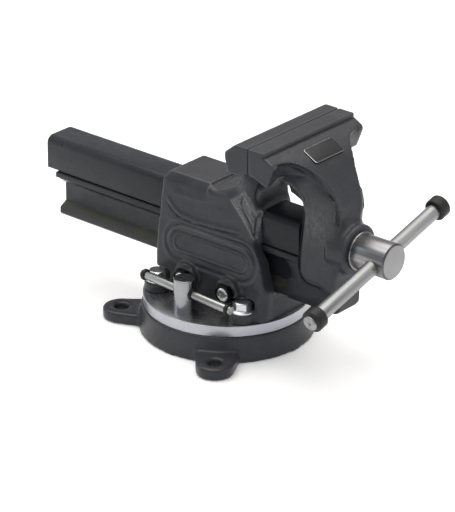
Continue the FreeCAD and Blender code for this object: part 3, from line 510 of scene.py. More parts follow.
def cutter(low, high):
    """A block between two corners, given in millimetres, that is cut away from a piece."""
    block = bpy.data.meshes.new("cutter")
    edit = bmesh.new()
    corners = [
        edit.verts.new(Vector((x, y, z)) * mm)
        for x in (low[0], high[0]) for y in (low[1], high[1]) for z in (low[2], high[2])
    ]
    for sides in ((0, 1, 3, 2), (4, 6, 7, 5), (0, 4, 5, 1), (2, 3, 7, 6), (0, 2, 6, 4), (1, 5, 7, 3)):
        edit.faces.new([corners[i] for i in sides])
    bmesh.ops.recalc_face_normals(edit, faces=edit.faces)
    edit.to_mesh(block)
    edit.free()
    return bpy.data.objects.new("cutter", block)


def edged(node, name, width=0.35 * mm, cuts=()):
    """The node's solid, less the blocks in `cuts`, with a small round on each edge."""
    piece = solid_copy(node, name)
    with reworked(piece) as edit:
        bmesh.ops.dissolve_limit(
            edit, angle_limit=math.radians(0.5), verts=edit.verts, edges=edit.edges
        )
    blocks = [cutter(low, high) for low, high in cuts]
    for block in blocks:
        scene.collection.objects.link(block)
        cut = piece.modifiers.new("cut", "BOOLEAN")
        cut.operation = "DIFFERENCE"
        cut.solver = "EXACT"
        cut.object = block
    bevel = piece.modifiers.new("edges", "BEVEL")
    bevel.width = width
    bevel.segments = 2
    bevel.limit_method = "ANGLE"
    bevel.angle_limit = math.radians(35)
    settle(piece)
    for block in blocks:
        bpy.data.meshes.remove(block.data)
    return crisp(piece, 40)


bolt_black = turned("bolt_black", (0.030, 0.030, 0.032), "Z", 0.38)
zinc = turned("zinc", (0.56, 0.57, 0.60), "Z", 0.34, 0.8 * mm, 0.004 * mm)
for node, material in (("pivot_bolt", bolt_black), ("pivot_washer", zinc), ("pivot_nut", bolt_black)):
    fit(edged(node, node + "_finished"), "turntable", material, node)

# ---------------- the body
# The body is drop-forged steel: the fixed jaw, the anvil and the four bolt lugs in
# one piece. Its skin keeps the flow lines of the die, the flash beside the column is
# ground off, and the jaw, the anvil and the slideway are milled before it is painted.
forge_grey = (0.0352, 0.0355, 0.0402)
ground_iron = (0.27, 0.262, 0.24)
forge_grain = 1.05 * mm
jaw_top = 212.2
jaw_low = 178
anvil_top = 146.4
anvil_front = -1.0
fixed_face = 74.2
body_foot = base_high + 10
column_front = ((104, 54), (128, 54), (152, 54), (165.8, 57.6), (177.2, 64), (188, 70.2))
column_half = 27.0
flare_radius = 35.0
flare_foot = 149.0
flank_outline = ((34.5, 36), (67.3, 34.5), (104, 30), (138, 26.5))


def from_stretch(x, z, x0, z0, x1, z1):
    """Distance of points from a straight stretch between two places."""
    length = max((x1 - x0) ** 2 + (z1 - z0) ** 2, 1e-9)
    share = np.clip(((x - x0) * (x1 - x0) + (z - z0) * (z1 - z0)) / length, 0, 1)
    return np.hypot(x - x0 - share * (x1 - x0), z - z0 - share * (z1 - z0))


def polygon_side(x, z, corners):
    """How far a point lies inside a polygon, in millimetres, and below 0 outside."""
    corners = np.array(corners, float)
    inside = np.zeros(len(x), bool)
    nearest = np.full(len(x), 1e9)
    for (x0, z0), (x1, z1) in zip(corners, np.roll(corners, -1, 0)):
        nearest = np.minimum(nearest, from_stretch(x, z, x0, z0, x1, z1))
        crosses = (z0 > z) != (z1 > z)
        with np.errstate(divide="ignore", invalid="ignore"):
            at = (x1 - x0) * (z - z0) / (z1 - z0) + x0
        inside ^= crosses & (x < at)
    return np.where(inside, nearest, -nearest)


def line_distance(x, z, corners):
    """Distance from a line, in millimetres, and on which side of it a point lies."""
    nearest = np.full(len(x), 1e9)
    side = np.zeros(len(x))
    for (x0, z0), (x1, z1) in zip(corners, corners[1:]):
        away = from_stretch(x, z, x0, z0, x1, z1)
        turn = np.sign((x1 - x0) * (z - z0) - (z1 - z0) * (x - x0))
        side = np.where(away < nearest, turn, side)
        nearest = np.minimum(nearest, away)
    return nearest, side


def bell(distance, width):
    """1 in the middle, falling softly to 0 over about twice the width."""
    return np.exp(-(distance / width) ** 2)


def along_line(value, line):
    """Reads a line of (place, size) pairs at each value."""
    return np.interp(value, [place for place, _ in line], [size for _, size in line])


def corner_cut(first, second, radius):
    """How far to move in from two faces so that the edge between them gets a radius."""
    a = np.clip(radius - first, 0, None)
    b = np.clip(radius - second, 0, None)
    share = 1 - np.maximum(a, b) / np.maximum(np.hypot(a, b), 1e-9)
    share *= (a > 0) & (b > 0)
    return a * share, b * share


def sharpness(piece, rounds=2):
    """How sharply a skin bends out (above 0) or in (below 0) at each point."""
    points, facing = skin_points(piece)
    mean = averaging(piece)
    bend = np.einsum("ij,ij->i", points - mean(points), facing)
    for _ in range(rounds):
        bend = 0.5 * bend + 0.5 * mean(bend)
    return bend


def carried(points, values, new_points):
    """Values at points, read at the nearest of them to each new point."""
    tree = kdtree.KDTree(len(points))
    for index, point in enumerate(points):
        tree.insert(point, index)
    tree.balance()
    return values[[tree.find(point)[1] for point in new_points]]


def paint_wear_and_light(piece, bare, points, bend):
    """Tells the paint where it is gone (0 to 1), and where edges get a painted highlight with some rubbed
    paint and corners get painted shade.
    """
    new_points, _ = skin_points(piece)
    sharp = 0.11
    for name, values in (
        ("bare", np.clip(bare, 0, 1)),
        ("edge", np.clip(carried(points, bend, new_points) / sharp, -1, 1)),
    ):
        layer = piece.data.attributes.new(name, "FLOAT", "POINT")
        layer.data.foreach_set("value", values.astype(np.float32))


def flank(y, z):
    """How far a point lies inside the body's side."""
    half = np.where(z < 140, along_line(z, flank_outline), column_half)
    rise = np.clip(z - flare_foot, 0, flare_radius - 0.01)
    half = half + np.where(z > flare_foot, flare_radius - np.sqrt(flare_radius ** 2 - rise ** 2), 0)
    return half - np.abs(y)


body = casting("vise_body", "forged_body", forge_grain)
points, facing = skin_points(body)
x, y, z = points.T
inside_front = along_line(z, column_front) - x
inside_flank = flank(y, z)
radius = 4 + np.where(y > 0, 9, 6) * ramp(z, 118, 142) * (1 - ramp(z, 170, 182))
in_x, in_y = corner_cut(inside_front, inside_flank, radius)
column = (x > 20) & (z > 105) & (z < 183)
# The slideway's mouth stands a little proud, and the column is hollowed above it.
mouth = 3.2 * ramp(x, 47, 53) * (1 - ramp(np.abs(y), 18, 26)) * ramp(z, 99, 107) * (1 - ramp(z, 136, 144))
hollow = 6.0 * ramp(x, 44, 50) * bell(z - 149.5, 9.5) * (1 - ramp(np.abs(y), 17, 25))
points[:, 0] -= in_x * column - mouth + hollow * (facing[:, 0] > 0.3)
points[:, 1] -= np.sign(y) * in_y * column
# Each shoulder between the anvil and the jaw is scooped out.
scoop = bell(np.hypot((x - 10) / 15, (np.abs(y) - 21) / 9), 1.0) * ramp(x, -0.5, 1.5)
scoop *= ramp(facing[:, 2], 0.05, 0.3) * (z > 130) * (z < 156)
scoop_depth = 2.0
points[:, 2] -= scoop_depth * scoop
points[:, 1] -= np.sign(y) * scoop_depth * scoop
set_points(body, points)

milled_top = (z > anvil_top - 2.2) & (x < anvil_front + 0.8)
amount = np.full(len(points), 0.6)
amount[z > 184.6] = 0.12  # the milled jaw
amount[(z > anvil_top - 7.5) & (x < anvil_front + 1.5)] = 0.16
amount[z < 36.5] = 0.10  # the foot on the disc
amount[(np.abs(y) < 20) & (z < 139) & (np.abs(facing[:, 0]) < 0.5)] = 0.0
gib_axes = ((-15.5, 57), (33.5, 57))
boss = np.minimum(*[np.hypot(x - gib_x, z - gib_z) for gib_x, gib_z in gib_axes])
amount[(y < -37.5) & (boss < 14)] = 0.22
amount[(y < -30) & (boss < 6.2)] = 0.05
amount[(z < 46) & (np.abs(y) > 25)] = 0.28  # the bolt lugs
relax(body, amount, 10)
under_jaw = ramp(x, -1, 7) * (1 - ramp(x, 50, 58)) * ramp(z, 136, 144)
under_jaw *= 1 - ramp(z, 176, 183)
under_jaw *= ramp(np.abs(y), 12, 18)
relax(body, 0.6 * under_jaw, 45)

points, facing = skin_points(body)
x, y, z = points.T
forged = ramp(z, 36, 42) * (1 - ramp(z, 176, 184)) * (1 - milled_top)
forged *= 1 - ((np.abs(y) < 20) & (z < 139))
lumps = unevenness(points, 23, 1.7) * 0.42 + unevenness(points, 9, 5.2) * 0.12
near = ramp(-y, 20, 25) * ramp(-facing[:, 1], 0.2, 0.7)

# On the near side the die left a step under the anvil, a long fold and a fine seam.
step_line = [(-50, 127.5), (-32, 128.4), (-18, 128.4), (-3, 130.0), (9, 133), (20, 138), (27, 142)]
away, side = line_distance(x, z, step_line)
fade = ramp(x, -50, -34) * (1 - ramp(x, 22, 29))
step_high = (0.8 * bell(away, 2.2) * (side <= 0) + (0.8 * bell(away, 4.5)) * (side > 0)) * fade * near
fold_line = [(-48, 119), (-40, 112), (-31.6, 107.8), (-14, 106.3), (9.5, 107.5), (38, 110)]
away, side = line_distance(x, z, fold_line)
fade = ramp(x, -50, -42) * (1 - ramp(x, 30, 42))
fold = (0.95 * bell(away - 2.6, 2.6) * (side > 0) - 1.1 * bell(away, 1.5) * (side <= 0)) * fade * near
seam_line = [(-52, 100), (-44, 105), (-34, 103), (-10, 101.5), (20, 103), (44, 106)]
away, side = line_distance(x, z, seam_line)
fade = ramp(x, -52, -46) * (1 - ramp(x, 36, 46))
fold += 0.35 * bell(away, 1.6) * fade * near

# The oval panel: a ledge inside its rim, and a hollow and a swell around it.
panel_x, panel_z = 7.5, 85.0
panel_round = 15.5
run = 50 - panel_round
past = np.hypot(np.maximum(np.abs(x - panel_x) - run, 0), z - panel_z) - panel_round
on_flank = ramp(np.abs(y), 26, 29) * ramp(np.abs(facing[:, 1]), 0.3, 0.7)
ledge = 1.0 * bell(past + 7.4, 1.1) * on_flank
halo = (-0.9 * bell(past - 1.5, 1.3) + 0.6 * bell(past - 4.8, 1.7)) * on_flank

# A finger's width is hollowed under the jaw, and the anvil's corner swells a little.
finger = -2.0 * bell(np.sqrt((x - 31) ** 2 + (z - 151) ** 2 + 0.3 * (y + 26) ** 2), 8.5) * ramp(-y, 12, 18)
lip = 0.9 * bell(np.sqrt((x - 1.5) ** 2 + (y + 22) ** 2 + (z - 142) ** 2), 2.6)

# The flash was ground off in two stripes, each with a crack, and the left one with a rim.
left_stripe = [(27.1, 140.9), (35.0, 147.0), (42.6, 153.2), (47.1, 146.7), (52.2, 136.8),
               (54.6, 126.9), (54.5, 109.7), (50.8, 116.4), (42.9, 124.5), (34.9, 132.4),
               (27.6, 138.8)]
left_rim = [(27.1, 139.6), (34.9, 132.4), (42.9, 124.5), (50.8, 116.4), (54.0, 110.1)]
left_crack = [(39.3, 146.1), (37.4, 139.6), (42.8, 130.2), (48.9, 122.4), (53.6, 112.3)]
left_hollow = [(41, 141), (50, 126), (54, 114)]
right_stripe = [(-26.4, 134.2), (-25.7, 136.1), (-18.0, 135.3), (-18.6, 126.2), (-21.9, 118.9),
                (-25.5, 111.0), (-28, 108), (-28, 116.8), (-27.8, 123.1)]
right_crack = [(-20.5, 133.2), (-23.4, 126.8), (-24.1, 120.2), (-25.8, 112.4)]


def flash_places(points, facing):
    """Where the two ground stripes of the flash are, and the cracks in them."""
    x, y, z = points.T
    on_side = ramp(-y, 17, 21) * ramp(-facing[:, 1], 0.25, 0.55) * (x > 22)
    on_front = ramp(facing[:, 0], 0.25, 0.6) * (x > 44) * (z > 104) * (y < -10)
    ragged = 1.0 * unevenness(points, 3.2, 2.2)
    side_stripe = ramp(polygon_side(x, z, left_stripe) + ragged, -0.5, 1.0) * on_side
    front_stripe = ramp(polygon_side(y, z, right_stripe) + 0.6 * ragged, -0.5, 0.8) * on_front
    rim = bell(line_distance(x, z, left_rim)[0] + 0.5 * ragged, 1.2) * on_side * (z < 141)
    crack = bell(line_distance(x, z, left_crack)[0] + 0.6 * ragged, 1.1) * side_stripe
    front_crack = bell(line_distance(y, z, right_crack)[0] + 0.4 * ragged, 0.9) * front_stripe
    crack = np.maximum(crack, front_crack)
    return side_stripe, front_stripe, rim, crack


side_stripe, front_stripe, rim, crack = flash_places(points, facing)


def streaks(points):
    """Grinding marks that run down the stripes."""
    x, y, z = points.T
    beside, along = 0.83 * x + 0.55 * z, 0.55 * x - 0.83 * z
    return unevenness(np.stack([1.25 * beside, y, 0.24 * along], 1), 2.2, 9.1)


scraped = streaks(points)
flash = (0.75 * rim - 1.5 * crack + 0.6 * scraped * np.maximum(side_stripe, front_stripe)
         - 0.6 * side_stripe * bell(line_distance(x, z, left_hollow)[0], 3.0)
         - 0.5 * front_stripe)
points += facing * (forged * lumps + step_high + fold + ledge + halo + finger + lip + flash)[:, None]
points[:, 2] = np.clip(points[:, 2], body_foot, jaw_top)
points[:, 0] = np.where(z > jaw_low, np.clip(points[:, 0], None, fixed_face), points[:, 0])
points[milled_top, 2] = np.clip(points[milled_top, 2], None, anvil_top)
set_points(body, points)
# Painted shade darkens the hollow over the slideway and the two scoops, the gib bosses' faces are darkened
# too, and the anvil's small step face is kept out of the painted shade.
bend = sharpness(body)
x, y, z = points.T
bend -= 0.10 * bell(z - 151, 9) * ramp(x, 45, 50) * (facing[:, 0] > 0.2) * (1 - ramp(np.abs(y), 19, 24))
from_scoop, _ = line_distance(x, z, [(8, 143), (20, 147), (30, 153)])
bend -= 0.11 * bell(from_scoop, 8) * ramp(np.abs(y), 6, 14) * (z > 132) * (x > 0.3)
step_face = ramp(facing[:, 0], 0.2, 0.5) * (x > -3.5) * (x < 2.5) * ramp(z, 142.6, 143.6) * (z < 146.3)
bend = np.maximum(bend, 0.01 * step_face)
at_boss = [np.hypot(x - gib_x, z - gib_z) < 12.9 for gib_x, gib_z in gib_axes]
bend -= 0.09 * (y < -38.3) * np.any(at_boss, 0)
fine_points = points
thinned(body, 90000)
points, facing = skin_points(body)
side_stripe, front_stripe, rim, crack = flash_places(points, facing)
x, y, z = points.T
bare = np.maximum(side_stripe, front_stripe) * (1 - 0.9 * crack)
bare *= 0.42 + 0.58 * ramp(streaks(points), -0.35, 0.35)
bare = np.maximum(bare, rim)
# A painted highlight, laid on as bare steel, marks the anvil's near front corner.
anvil_corner_highlight = bell(np.hypot(x + 0.6, y + 22.2), 0.9) * ramp(z, 139.5, 141) * (1 - ramp(z, 146, 147))
bare = np.maximum(bare, 0.75 * anvil_corner_highlight)
paint_wear_and_light(body, bare, fine_points, bend)
forge_paint = sprayed("forge_paint", forge_grey, ground_iron, sheen=0.26)
fit(crisp(body, 60), "turntable", forge_paint, "vise_body")

# ---------------- the body bolts
# Four flanged hexagon bolts, headed cold and zinc plated, hold the body's lugs on the
# disc. Each stands turned as its thread left it.
lug_places = [(x, y) for x in (-50, 50) for y in (-38.5, 38.5)]
lug_top = 44.0 * mm
bolt_flats = 15 * mm
bolt_tip = bolt_flats / 2 / math.cos(math.pi / 6)


def hexagon_head(name, flats, outline, steps=96):
    """A bolt head from its outline, (radius, height), from the bottom up. It is round
    where the radius is negative, and otherwise no wider than the hexagon."""
    vertices, faces = [], []
    for radius, height in outline:
        for step in range(steps):
            angle = 2 * math.pi * step / steps
            sector = (angle + math.pi / 6) % (math.pi / 3) - math.pi / 6
            hexagon = 0.5 * flats / math.cos(sector)
            reach = min(radius, hexagon) if radius > 0 else -radius
            vertices.append((reach * math.cos(angle), reach * math.sin(angle), height))
    for row in range(len(outline) - 1):
        low, high = row * steps, (row + 1) * steps
        for step in range(steps):
            after = (step + 1) % steps
            faces.append([low + step, low + after, high + after, high + step])
    faces.append(list(range(steps))[::-1])
    faces.append([(len(outline) - 1) * steps + step for step in range(steps)])
    return made(name, vertices, faces)


def merged(name, pieces):
    """One piece made of several."""
    mesh = bmesh.new()
    for piece in pieces:
        mesh.from_mesh(piece.data)
    result = bpy.data.objects.new(name, bpy.data.meshes.new(name))
    bmesh.ops.recalc_face_normals(mesh, faces=mesh.faces)
    mesh.to_mesh(result.data)
    mesh.free()
    for piece in pieces:
        bpy.data.objects.remove(piece)
    scene.collection.objects.link(result)
    return result


flange = [(-10.9 * mm, 0.0), (-10.9 * mm, 0.9 * mm), (-10.5 * mm, 1.3 * mm), (-9.2 * mm, 2.0 * mm),
          (-8.8 * mm, 2.2 * mm)]
shoulder = 8.1 * mm
outline = flange + [(bolt_tip, 2.4 * mm), (bolt_tip, shoulder)]
for share in (0.35, 0.7, 1.0):
    radius = bolt_tip + (0.46 * bolt_flats - bolt_tip) * share
    outline.append((radius, shoulder + (bolt_tip - radius) * 0.62))
top = outline[-1][1]
outline += [(-6.2 * mm, top), (-6.0 * mm, top - 0.25 * mm), (-3 * mm, top - 0.3 * mm)]
bolts = []
for x, y in lug_places:
    turn = Matrix.Rotation(0.35 * x * y / 1900 + 0.4, 4, "Z")
    head = hexagon_head("head", bolt_flats, outline)
    head.data.transform(Matrix.Translation((x * mm, y * mm, lug_top)) @ turn)
    bolts.append(head)
body_bolts = merged("body_bolts_finished", bolts)
fit(crisp(body_bolts, 24), "turntable", zinc, "body_bolts")

# ---------------- the gibs
# Two strips take up the play of the rail's foot. Two socket set screws press the near
# one, each locked by a black hexagon nut on its boss.
socket_bright = turned("socket_bright", (0.62, 0.63, 0.65), "Y", 0.24)
nut_black = turned("nut_black", (0.016, 0.016, 0.017), "Y", 0.36)
milled_iron = turned("milled_iron", (0.17, 0.17, 0.17), "X", 0.42)
gib_screws = edged("gib_set_screws", "gib_set_screws_finished", 0.25 * mm)
# The end in front of the nut is wider.
nut_front = -46.85 * mm
wider = 1.22
for vertex in gib_screws.data.vertices:
    if vertex.co.y < nut_front:
        gib_x, gib_z = gib_axes[0] if vertex.co.x < 9 * mm else gib_axes[1]
        middle = Vector((gib_x, 0, gib_z)) * mm
        vertex.co.x = middle.x + wider * (vertex.co.x - middle.x)
        vertex.co.z = middle.z + wider * (vertex.co.z - middle.z)
fit(gib_screws, "turntable", socket_bright, "gib_set_screws")
fit(edged("gib_lock_nuts", "gib_lock_nuts_finished", 0.4 * mm), "turntable", nut_black, "gib_lock_nuts")
# The spindle's nut and the lock screw's clamp block are milled from iron like the strips.
for node in ("gib_strip_near", "gib_strip_far", "spindle_nut", "clamp_block"):
    fit(edged(node, node + "_finished"), "turntable", milled_iron, node)
fit(
    edged("spindle_nut_screws", "spindle_nut_screws_finished"), "turntable", bolt_black,
    "spindle_nut_screws",
)

# ---------------- the lock screw
# A polished post on a threaded stud. A loose bar through it turns it, with a black
# ring pressed on near each end, and a rubber ring keeps the bar from rattling.
post_place = Vector((-2, -56.4, 34.5)) * mm
post_radius = 9.8 * mm
post_high = 31.5 * mm
bar_angle = math.radians(-3.6)
bar_way = Vector((math.cos(bar_angle), math.sin(bar_angle), 0))
bar_centre = Vector((-2, -56.4, 52.9)) * mm
bar_middle = bar_centre + bar_way * 2.2 * mm
bar_radius = 3.9 * mm
bar_half = 55.3 * mm
bar_ring_length = 4.5 * mm
bar_past_ring = 1.6 * mm

post_steel = turned("post_steel", (0.285, 0.29, 0.305), "Z", 0.22, 0.5 * mm, 0.003 * mm, 0.06)
bar_steel = drawn("bar_steel", (0.31, 0.308, 0.303), bar_way, 0.27, 0.7 * mm, 0.003 * mm, 0.28)
post = lathe(
    "post",
    [(0, 0)] + rounded_end(post_radius, 0, 0.4 * mm, -1)
    + rounded_end(post_radius, post_high, 0.9 * mm, 1, 6) + [(0, post_high)],
    post_place, (0, 0, 1),
)
drill_radius = 4.15 * mm
drill = lathe(
    "drill", [(0, -0.03), (drill_radius, -0.03), (drill_radius, 0.03), (0, 0.03)],
    bar_centre, bar_way, 64,
)
cut = post.modifiers.new("cross_hole", "BOOLEAN")
cut.operation = "DIFFERENCE"
cut.object = drill
cut.solver = "EXACT"
settle(post)
bpy.data.objects.remove(drill)
fit(crisp(post, 30), "lock_screw", post_steel, "lock_screw")
fit(edged("lock_stud", "lock_stud_finished"), "lock_screw", bar_steel, "lock_stud")

bar = lathe(
    "lock_bar_rod",
    [(0, -bar_half)] + rounded_end(bar_radius, -bar_half, 0.7 * mm, -1)
    + rounded_end(bar_radius, bar_half, 0.7 * mm, 1) + [(0, bar_half)],
    bar_middle, bar_way, 64,
)
fit(crisp(bar), "lock_bar", bar_steel, "lock_bar")


def rubber(name, colour, shine):
    """Black moulded rubber or plastic with a little dust."""
    material, tree, shader = finish(name)
    dust = spread(tree, clouds(tree, 2.2 * mm, 5, 0.65), 0, 0.5, 0.45, 0.8)
    tree.links.new(tinted(tree, dust, colour, shade(colour, 3)), shader.inputs["Base Color"])
    tree.links.new(spread(tree, clouds(tree, 5 * mm), shine, shine + 0.15), shader.inputs["Roughness"])
    shader.inputs["Specular IOR Level"].default_value = 0.33
    tree.links.new(dented(tree, (clouds(tree, 0.9 * mm, 3), 0.03 * mm)), shader.inputs["Normal"])
    return material


def band(name, radius, bore, length, centre, axis, round_size):
    """A ring pressed on a rod."""
    return lathe(
        name,
        [(bore, 0)] + rounded_end(radius, 0, round_size, -1) + rounded_end(radius, length, round_size, 1)
        + [(bore, length), (bore, 0)],
        centre, axis, 72,
    )


black_rubber = rubber("black_rubber", (0.009, 0.009, 0.009), 0.42)
for side, name in ((-1, "left"), (1, "right")):
    start = bar_middle + bar_way * side * (bar_half - bar_past_ring - bar_ring_length)
    ring = band("lock_ring_" + name, 5.2 * mm, 3.92 * mm, bar_ring_length, start, bar_way * side, 1.5 * mm)
    fit(crisp(ring), "lock_bar", black_rubber, "lock_bar_ring_" + name)
collar_place = bar_centre + bar_way * 8.6 * mm
collar = band("bar_collar", 5.4 * mm, 3.95 * mm, 2.9 * mm, collar_place, bar_way, 0.9 * mm)
fit(crisp(collar), "lock_screw", black_rubber, "lock_bar_friction_ring")

# ---------------- the slide
# The slide is a drawn steel section: a hollow box over a rail with a foot. Its front
# end is a solid nose that two cap screws pull up against the jaw's stem.
slide_rear = -204.6  # a little past the end
ledge_step = ((slide_rear, -21, 96), (-192.8, 21, 102.8))
near_groove = ((slide_rear, -21, 102.2), (99, -15.4, 104.1))
far_groove = ((slide_rear, 15.4, 102.2), (99, 21, 104.1))
slide = edged("slide_rail", "slide", 0.8 * mm, (ledge_step, near_groove, far_groove))
slide_paint = sprayed("slide_paint", (0.0208, 0.0212, 0.0248), ground_iron, 0.07 * mm, 0.10 * mm, 0.18)
# The nose's far lower corner is ground round, facet by facet.
nose_front = 139.5
corner_y, corner_z, corner_radius = 4.4, 72.7, 13
with reworked(slide) as edit:
    for turn in (0.25, 0.5, 0.75, 1.0, 1.25):
        way = Vector((0.15, math.cos(turn), -math.sin(turn)))
        spot_y = corner_y + corner_radius * math.cos(turn)
        spot_z = corner_z - corner_radius * math.sin(turn)
        cut = bmesh.ops.bisect_plane(
            edit, geom=edit.verts[:] + edit.edges[:] + edit.faces[:], dist=1e-7,
            plane_co=Vector((nose_front, spot_y, spot_z)) * mm, plane_no=way, clear_outer=True,
        )
        rim = [part for part in cut["geom_cut"] if isinstance(part, bmesh.types.BMEdge)]
        if rim:
            bmesh.ops.edgeloop_fill(edit, edges=rim)
fit(crisp(slide, 40), "front_jaw", slide_paint, "slide_rail")
# Its upward faces below the web are painted a lighter brownish grey: oil rubbed on the sliding faces, and
# partly painted light on these tops.
oiled_and_lit = sprayed("oiled_and_lit", (0.046, 0.045, 0.037), ground_iron, 0.05 * mm, 0.10 * mm, 0.33)
slide.data.materials.append(forge_paint)
slide.data.materials.append(oiled_and_lit)
nose_rear = 97 * mm
web_middle = 80 * mm
for face in slide.data.polygons:
    if face.center.x > nose_rear and face.center.z < web_middle:
        face.material_index = 1
    elif face.normal.z > 0.2 and face.center.z < web_middle:
        face.material_index = 2
fit(edged("rail_screws", "rail_screws_finished"), "front_jaw", bolt_black, "rail_screws")

# ---------------- the moving jaw
# The front jaw is a second forging: the jaw block, a C-shaped stem round the throat
# and a round boss that the spindle runs through. Its front is a raised plate.
spindle_axis = 118.6
moving_face = 74.6
nose_top = 79.0
stem_half = 20.2
gusset_half = 16.5
stem_back = [(103.1, 159.3), (96.5, 104), (96.5, 93)]
heel_radius = 14
stem_heel = [
    (110.5 - heel_radius * math.cos(turn), 93 - heel_radius * math.sin(turn))
    for turn in (0, 0.3, 0.6, 0.9, 1.2, 1.571)
]
throat_edge = [(104.3, 150.4), (101.9, 158.9), (95.6, 165), (89.3, 168.4), (84.6, 169.7)]
plate_line = [(62.5, 204.6), (47, 202.4), (35.5, 198.4), (30, 194.3), (25.2, 189), (20.6, 181),
              (17.8, 170), (15.6, 156), (14.6, 142)]

front_jaw = casting("moving_jaw", "forged_front_jaw", forge_grain)
points, facing = skin_points(front_jaw)
x, y, z = points.T
across = np.abs(y)
gusset = (across > gusset_half - 0.9) & (across < stem_half - 0.2) & (x > 83.3) & (z > 147) & (z < 168.5)
into_throat, side = line_distance(x, z, throat_edge)
into_throat = np.where(side > 0, into_throat, 0)
far_edge = (y > 0) & (x > 110) & (z > 135) & (z < 170)
points[:, 1] = np.where(far_edge, np.clip(y, None, 18.9), y)
gusset_reach = stem_half - (stem_half - gusset_half) * np.clip(into_throat / 7, 0, 1)
points[:, 1] = np.where(gusset, np.sign(y) * gusset_reach, points[:, 1])
set_points(front_jaw, points)
points, facing = skin_points(front_jaw)
x, y, z = points.T
across = np.abs(y)
from_axis = np.hypot(y, z - spindle_axis)
to_plate, _ = line_distance(across, z, plate_line)
amount = np.full(len(points), 0.6)
amount[z > 182] = 0.12  # the milled jaw
amount[(to_plate < 5) & (x > 90)] = 0.25  # the edge of the raised plate
amount[from_axis < 13] = 0.05  # the spindle's bore
amount[(from_axis < 24) & (x > 145.5)] = 0.12  # the boss's turned face
amount[(x < 97) & (z < 137)] = 0.15  # the seat on the slide
amount[(x < 97) & (z > 168)] = 0.12  # the jaw's underside
relax(front_jaw, amount, 10)
points, facing = skin_points(front_jaw)
x, y, z = points.T
across = np.abs(y)
from_axis = np.hypot(y, z - spindle_axis)
neck = bell(from_axis - 24.5, 5.5) * (x > 130) * (x < 145)
relax(front_jaw, 0.6 * neck, 30)
to_plate, _ = line_distance(across, z, plate_line)
outer = (z < along_line(across, plate_line[::-1])) & (across > 14.0)
from_throat, _ = line_distance(x, z, throat_edge)
# The skin flows in one wide hollow from the stem out under the jaw.
under_jaw = ramp(z, 160, 172) * (1 - ramp(z, 196, 203)) * ramp(x, 76, 80) * (1 - ramp(x, 122, 132))
under_jaw *= ramp(across, 15.5, 18) * (1 - ramp(across, 46, 53)) * ramp(from_throat, 2, 7)
under_jaw *= np.where(outer, ramp(to_plate, 0.5, 2.5), facing[:, 0] < 0.2)
relax(front_jaw, 0.8 * under_jaw, 300)

points, facing = skin_points(front_jaw)
x, y, z = points.T
across = np.abs(y)
from_axis = np.hypot(y, z - spindle_axis)
forged = (1 - ramp(z, 184, 194)) * ramp(from_axis, 22, 27)
on_front = ramp(facing[:, 0], 0.15, 0.5) * (x > 86)
forged = np.maximum(forged, 0.5 * on_front * (z < 206) * ramp(from_axis, 22, 27))
lumps = unevenness(points, 25, 2.9) * 0.42 + unevenness(points, 10, 7.7) * 0.10
on_side = ramp(np.abs(facing[:, 1]), 0.4, 0.8) * (across < 24)
lumps *= 1 - 0.5 * on_side
# The stem's side has a slanting rim along its back, and a crease beside the rim.
rim_line = stem_back + stem_heel + [(136, nose_top)]
from_rim, _ = line_distance(x, z, rim_line)
rim_width = 4.6 * (1 - ramp(z, 140, 162)) * (1 - ramp(x, 118, 136))
points[:, 1] -= np.sign(y) * np.clip(rim_width - from_rim, 0, None) * 0.60 * on_side
crease = -0.35 * bell(from_rim - rim_width - 0.6, 1.0) * on_side * (rim_width > 1)

# Beside the raised plate the skin steps down, deeper on the near side.
to_plate, _ = line_distance(across, z, plate_line)
outer = (z < along_line(across, plate_line[::-1])) & (across > 14.0)
deep = np.where(y < 0, 2.3, 0.7) * (1 - 0.3 * ramp(z, 182, 192))
step_down = ramp(to_plate, 0.0, 1.8) * (1 - ramp(to_plate, 2.4, 13))
trough = -deep * step_down * outer * (x > 96) * (across < 56) * ramp(z, 141, 149)
trough *= ramp(facing[:, 0], -0.1, 0.25)
ridge_place = (1.7 + 0.9 * bell(z - 178, 16)) * 2.9
ridge = 0.2 * (1 - ramp(z, 166, 176)) * bell(to_plate - ridge_place, 1.6) * outer
ridge *= x > 96
ridge *= across < 40
ridge *= ramp(z, 143, 150)
points += facing * (forged * lumps + trough + ridge + crease)[:, None]
lip = (facing[:, 0] > 0.4) & (x < 94) & (x > 90)
points[:, 0] -= 1.3 * bell(z - 207.6, 1.2) * lip
points[:, 2] = np.clip(points[:, 2], nose_top, jaw_top)
points[:, 0] = np.where(z > jaw_low, np.clip(points[:, 0], moving_face, None), points[:, 0])
set_points(front_jaw, points)
# Painted shade darkens the line under the jaw's top lip and, on the near side, the edge of the raised
# plate; the throat is kept almost free of painted corner shade.
bend = sharpness(front_jaw)
bend -= 0.12 * bell(z - 207.4, 1.6) * (x < 95) * (x > 90)
throat = (x > 78) & (x < 108) & (z > 140) & (z < 172)
bend = np.where(throat, np.maximum(bend, -0.02), bend)
plate_edge_shade = bell(to_plate - 1.6, 1.6) * outer * (x > 96) * (across < 56) * ramp(z, 141, 149)
bend -= 0.18 * plate_edge_shade * (y < 0)
fine_points = points
thinned(front_jaw, 80000)
points, facing = skin_points(front_jaw)
x, y, z = points.T
# The paint is rubbed thin on the near cheek, with one bare stroke at its back edge.
patch = bell(np.hypot((x - 113) / 17, (z - 141) / 20), 1.0) * ramp(-y, 17, 19.5)
grit = 0.5 + 0.5 * unevenness(points * (1, 1, 0.5), 2.2, 4.4)
stroke, _ = line_distance(x, z, [(96.8, 153), (97.9, 146), (100.5, 138)])
rubbed = 0.75 * patch * grit + 0.9 * bell(stroke, 0.9) * ramp(-y, 17, 19.5)
paint_wear_and_light(front_jaw, rubbed, fine_points, bend)
fit(crisp(front_jaw, 60), "front_jaw", forge_paint, "moving_jaw")

